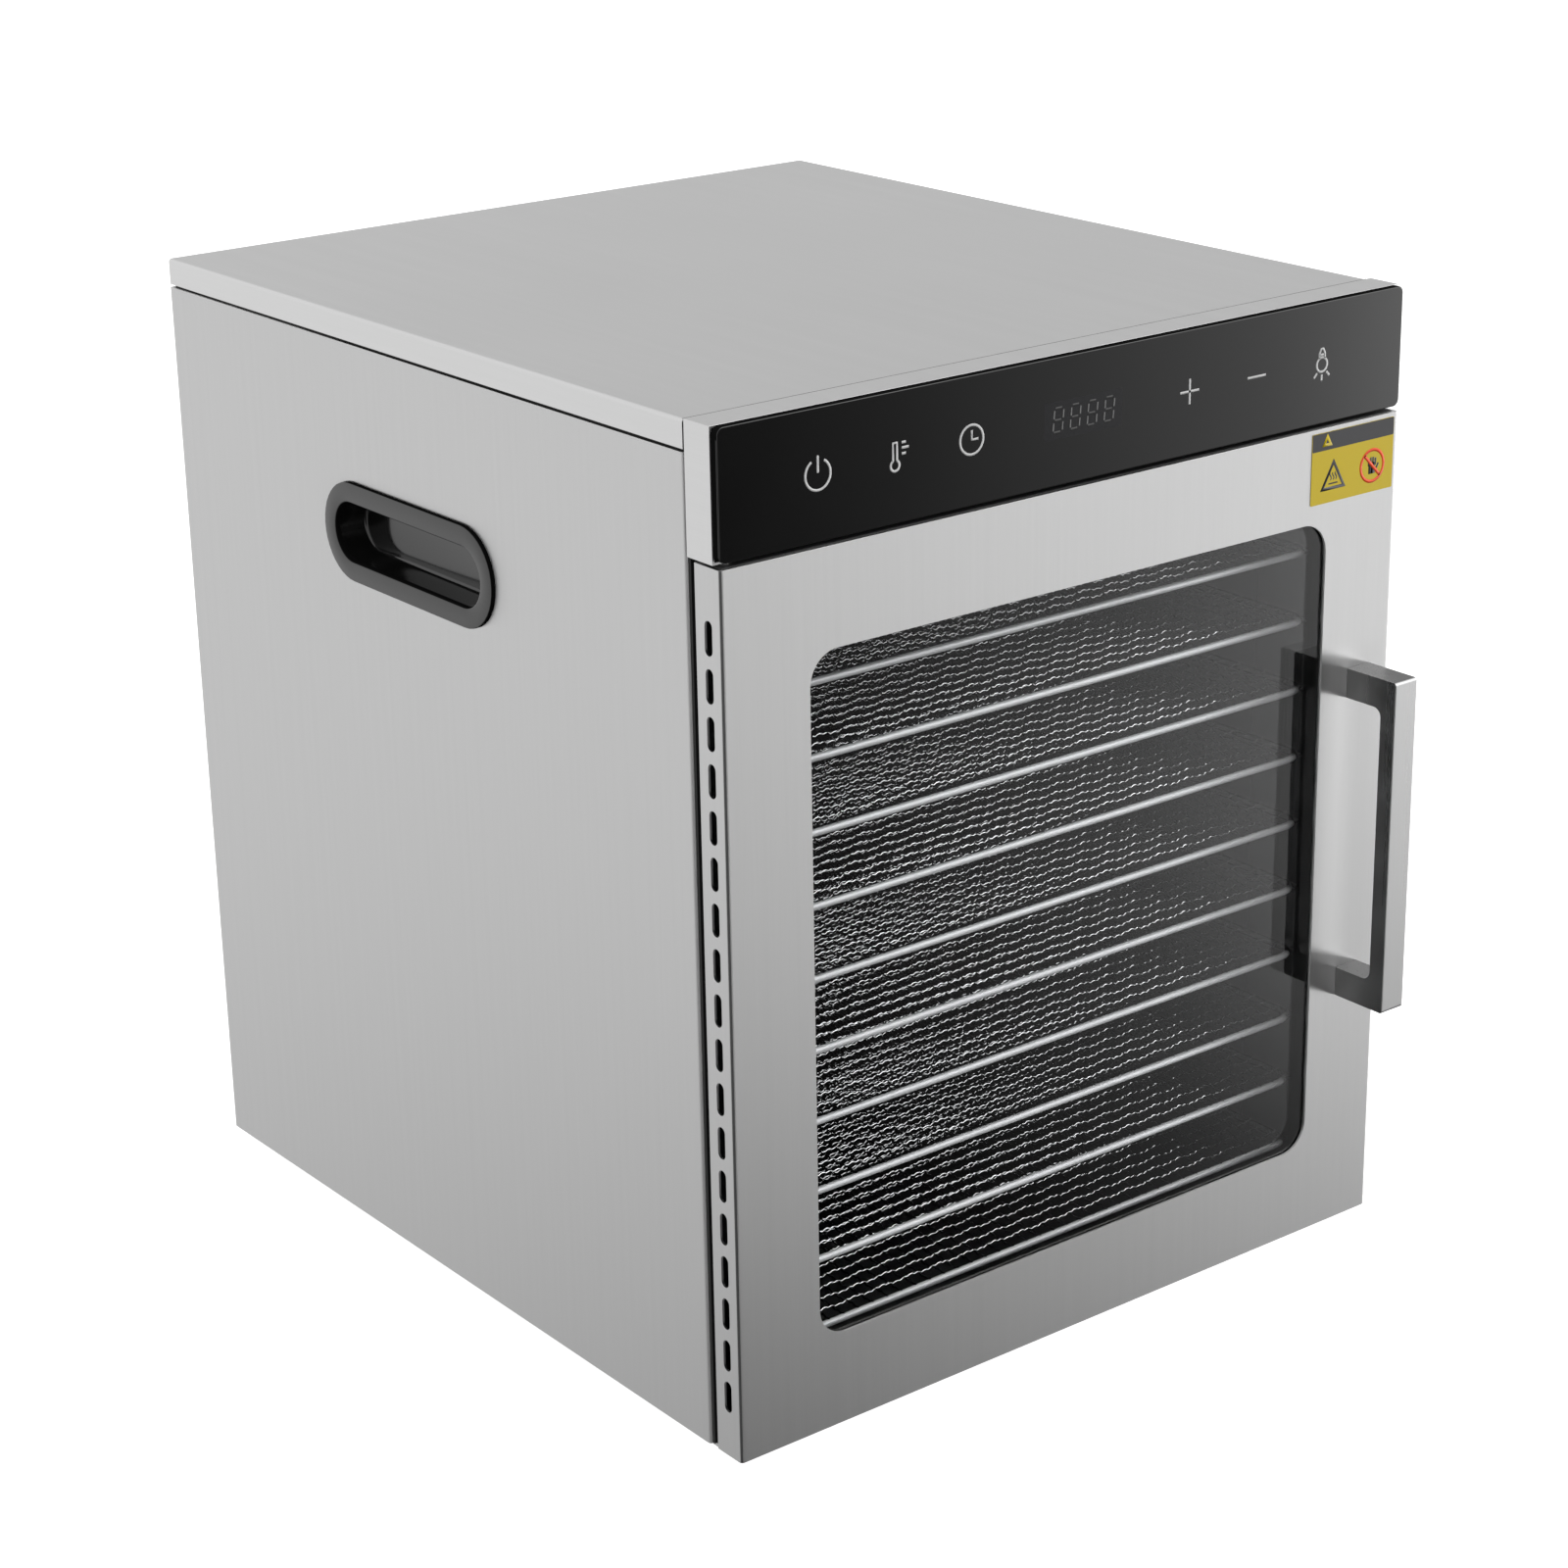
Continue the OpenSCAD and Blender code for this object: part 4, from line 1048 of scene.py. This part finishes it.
def screwRecipe():
    recipe = Recipe("crossHeadScrews", {
        "Head radius": 0.0035, "Head height": 0.002, "Shank radius": 0.0019, "Shank": 0.005,
        "Slot": 0.0009, "Recess": 0.0044, "Depth": 0.0012, "Material": None})
    g = recipe.given
    head = recipe.add("GeometryNodeMeshCone", None, {
        "Vertices": screw["sides"], "Radius Top": g("Head radius") * screw["taper"],
        "Radius Bottom": g("Head radius"), "Depth": g("Head height")})
    cross = recipe.join(*[recipe.add("GeometryNodeMeshCube", None, {"Size": size}) for size in (
        recipe.xyz(g("Slot"), g("Recess"), g("Depth") * 2.0),
        recipe.xyz(g("Recess"), g("Slot"), g("Depth") * 2.0))])
    cross = recipe.add("GeometryNodeTransform", None, {
        "Geometry": cross, "Translation": recipe.xyz(z=g("Head height"))})
    head = recipe.add("GeometryNodeMeshBoolean", {"operation": "DIFFERENCE", "solver": "EXACT"}, {
        0: head, 1: cross})
    shank = recipe.add("GeometryNodeMeshCylinder", None, {
        "Vertices": screw["sides"], "Radius": g("Shank radius"), "Depth": g("Shank")}, "Mesh")
    shank = recipe.add("GeometryNodeTransform", None, {
        "Geometry": shank, "Translation": recipe.xyz(z=g("Shank") * -0.5)})
    facing = recipe.add("GeometryNodeInputNamedAttribute", {"data_type": "FLOAT_VECTOR"}, {"Name": "facing"})
    turn = recipe.add("FunctionNodeAlignRotationToVector", {"axis": "Z"}, {"Vector": facing})
    recipe.close(recipe.add("GeometryNodeInstanceOnPoints", None, {
        "Points": g("Geometry"), "Instance": recipe.join(head, shank), "Rotation": turn}))
    return recipe


def headHeight(axis, radius, length):
    if axis == 2 and length < screw["short"]:
        return screw["shortHead"]
    return screw["bigHead"] if radius > screw["bigRadius"] else screw["smallHead"]


def makeScrews(name, nodeName, recipe):
    # groups the screws by direction and size, and puts a cross-head screw on each
    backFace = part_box("rear_panel")[1].y
    groups = {}
    for first, last in looseParts(nodeName):
        axis = 1 if last.y > backFace else 2  # screws in the back face rearwards, the others down
        size = last - first
        radius = (size.x if axis == 2 else size.z) / 2
        key = (axis, round(radius / mm, 1), round(size[axis] / mm, 1))
        groups.setdefault(key, []).append((first, last))
    for number, ((axis, radius, length), parts) in enumerate(sorted(groups.items()), 1):
        height = headHeight(axis, radius, length)
        points = []
        for first, last in parts:
            middle = (first + last) / 2
            middle[axis] = first[axis] + height * mm if axis == 2 else last[axis] - height * mm
            points.append(middle)
        facing = [0, 0, -1] if axis == 2 else [0, 1, 0]
        mesh = bpy.data.meshes.new(name)
        mesh.from_pydata(points, [], [])
        attribute = mesh.attributes.new("facing", "FLOAT_VECTOR", "POINT")
        attribute.data.foreach_set("vector", facing * len(points))
        shank = screw["bigShank"] if radius > screw["bigRadius"] else screw["smallShank"]
        piece = recipe.make(f"{name}_{number}", {
            "Head radius": radius * mm, "Head height": height * mm,
            "Shank radius": shank * mm, "Shank": (length - height) * mm,
            "Slot": radius * screw["slotWidth"] * mm, "Recess": radius * 2 * screw["recess"] * mm,
            "Depth": height * screw["slotDepth"] * mm, "Material": finish["fasteners"]}, mesh)
        smooth(piece.data, 30)
        attach(piece, bodyOf[nodeName], nodeName)


makeScrews("cabinet_screws", "case_screws", screwRecipe())
print("screws made")


# floor, backdrop and light
studio = {
    "floorSize": 14.0,     # metres
    "floorDrop": 0.2,      # mm below the feet
    "floorGlow": 1.0, "floorTone": 0.34, "backdropGlow": 1.1,
    "sky": 1.28,           # radiance all round
    "low": 0.36,           # share left far below the horizon
    "lowFrom": -0.31, "lowTo": -0.66,
    "dark": [              # azimuth, elevation, inner and outer angle in degrees, share taken away
        (20.0, -18.0, 14.0, 29.0, 1.0),
        (25.0, -50.0, 24.0, 34.0, 1.0),
        (-50.0, -18.0, 12.0, 29.0, 0.97),
        (125.0, 12.0, 15.0, 60.0, 0.42),
    ],
    "bright": [            # the same, radiance added
        (45.0, 40.0, 14.0, 38.0, 2.5),
        (70.0, -10.0, 12.0, 25.0, 3.4),
        (42.0, 5.0, 5.0, 15.0, 0.8),
    ],
}


def makeSky():
    world = bpy.data.worlds.new("studio")
    bpy.context.scene.world = world
    look = Look(world)
    way = look.add("ShaderNodeTexCoord", out="Generated")
    up = look.axes(way)[2]

    def patch(azimuth, elevation, inner, outer):
        aim = towards(azimuth, elevation)
        near = look.add("ShaderNodeVectorMath", {"operation": "DOT_PRODUCT"}, {0: way, 1: aim}, "Value")
        return look.range(near, math.cos(math.radians(outer)), math.cos(math.radians(inner)))

    level = look.range(up, studio["lowTo"], studio["lowFrom"], studio["low"], 1.0) * studio["sky"]
    for azimuth, elevation, inner, outer, depth in studio["bright"]:
        level = level + patch(azimuth, elevation, inner, outer) * depth
    for azimuth, elevation, inner, outer, depth in studio["dark"]:
        level = level * (1 - patch(azimuth, elevation, inner, outer) * depth)
    glow = look.add("ShaderNodeBackground", None, {"Color": grey(1), "Strength": level})
    look.add("ShaderNodeOutputWorld", None, {"Surface": glow})


def makeFloor():
    cage = bmesh.new()
    bmesh.ops.create_grid(cage, x_segments=1, y_segments=1, size=studio["floorSize"])
    bmesh.ops.translate(cage, verts=cage.verts, vec=(0, 0, -studio["floorDrop"] * mm))
    look = newLook("paleFloor")
    grain = look.noise(look.place(), 3, 2)
    glow = look.add("ShaderNodeEmission", None, {"Color": grey(1), "Strength": studio["floorGlow"]})
    paper = look.add("ShaderNodeBsdfDiffuse", None, {
        "Color": look.blend(grain, grey(studio["floorTone"]), grey(studio["floorTone"] * 1.02))})
    look.surface(look.add("ShaderNodeAddShader", None, {0: glow, 1: paper}))
    floor = newPiece("floor", meshFrom(cage, "floor"), look.owner)
    shell = bmesh.new()
    bmesh.ops.create_uvsphere(shell, u_segments=48, v_segments=24, radius=studio["floorSize"])
    white = newLook("paleBackdrop")
    white.surface(white.add("ShaderNodeEmission", None, {
        "Color": grey(1), "Strength": studio["backdropGlow"]}))
    backdrop = newPiece("backdrop", meshFrom(shell, "backdrop"), white.owner)
    for thing in (floor, backdrop):           # seen by the camera alone, so that the sky does the lighting
        for ray in ("glossy", "diffuse", "transmission", "shadow"):
            setattr(thing, "visible_" + ray, False)


makeSky()
makeFloor()
view = bpy.context.scene.view_settings
view.view_transform = "Standard"
view.look = "None"
print("studio ready")
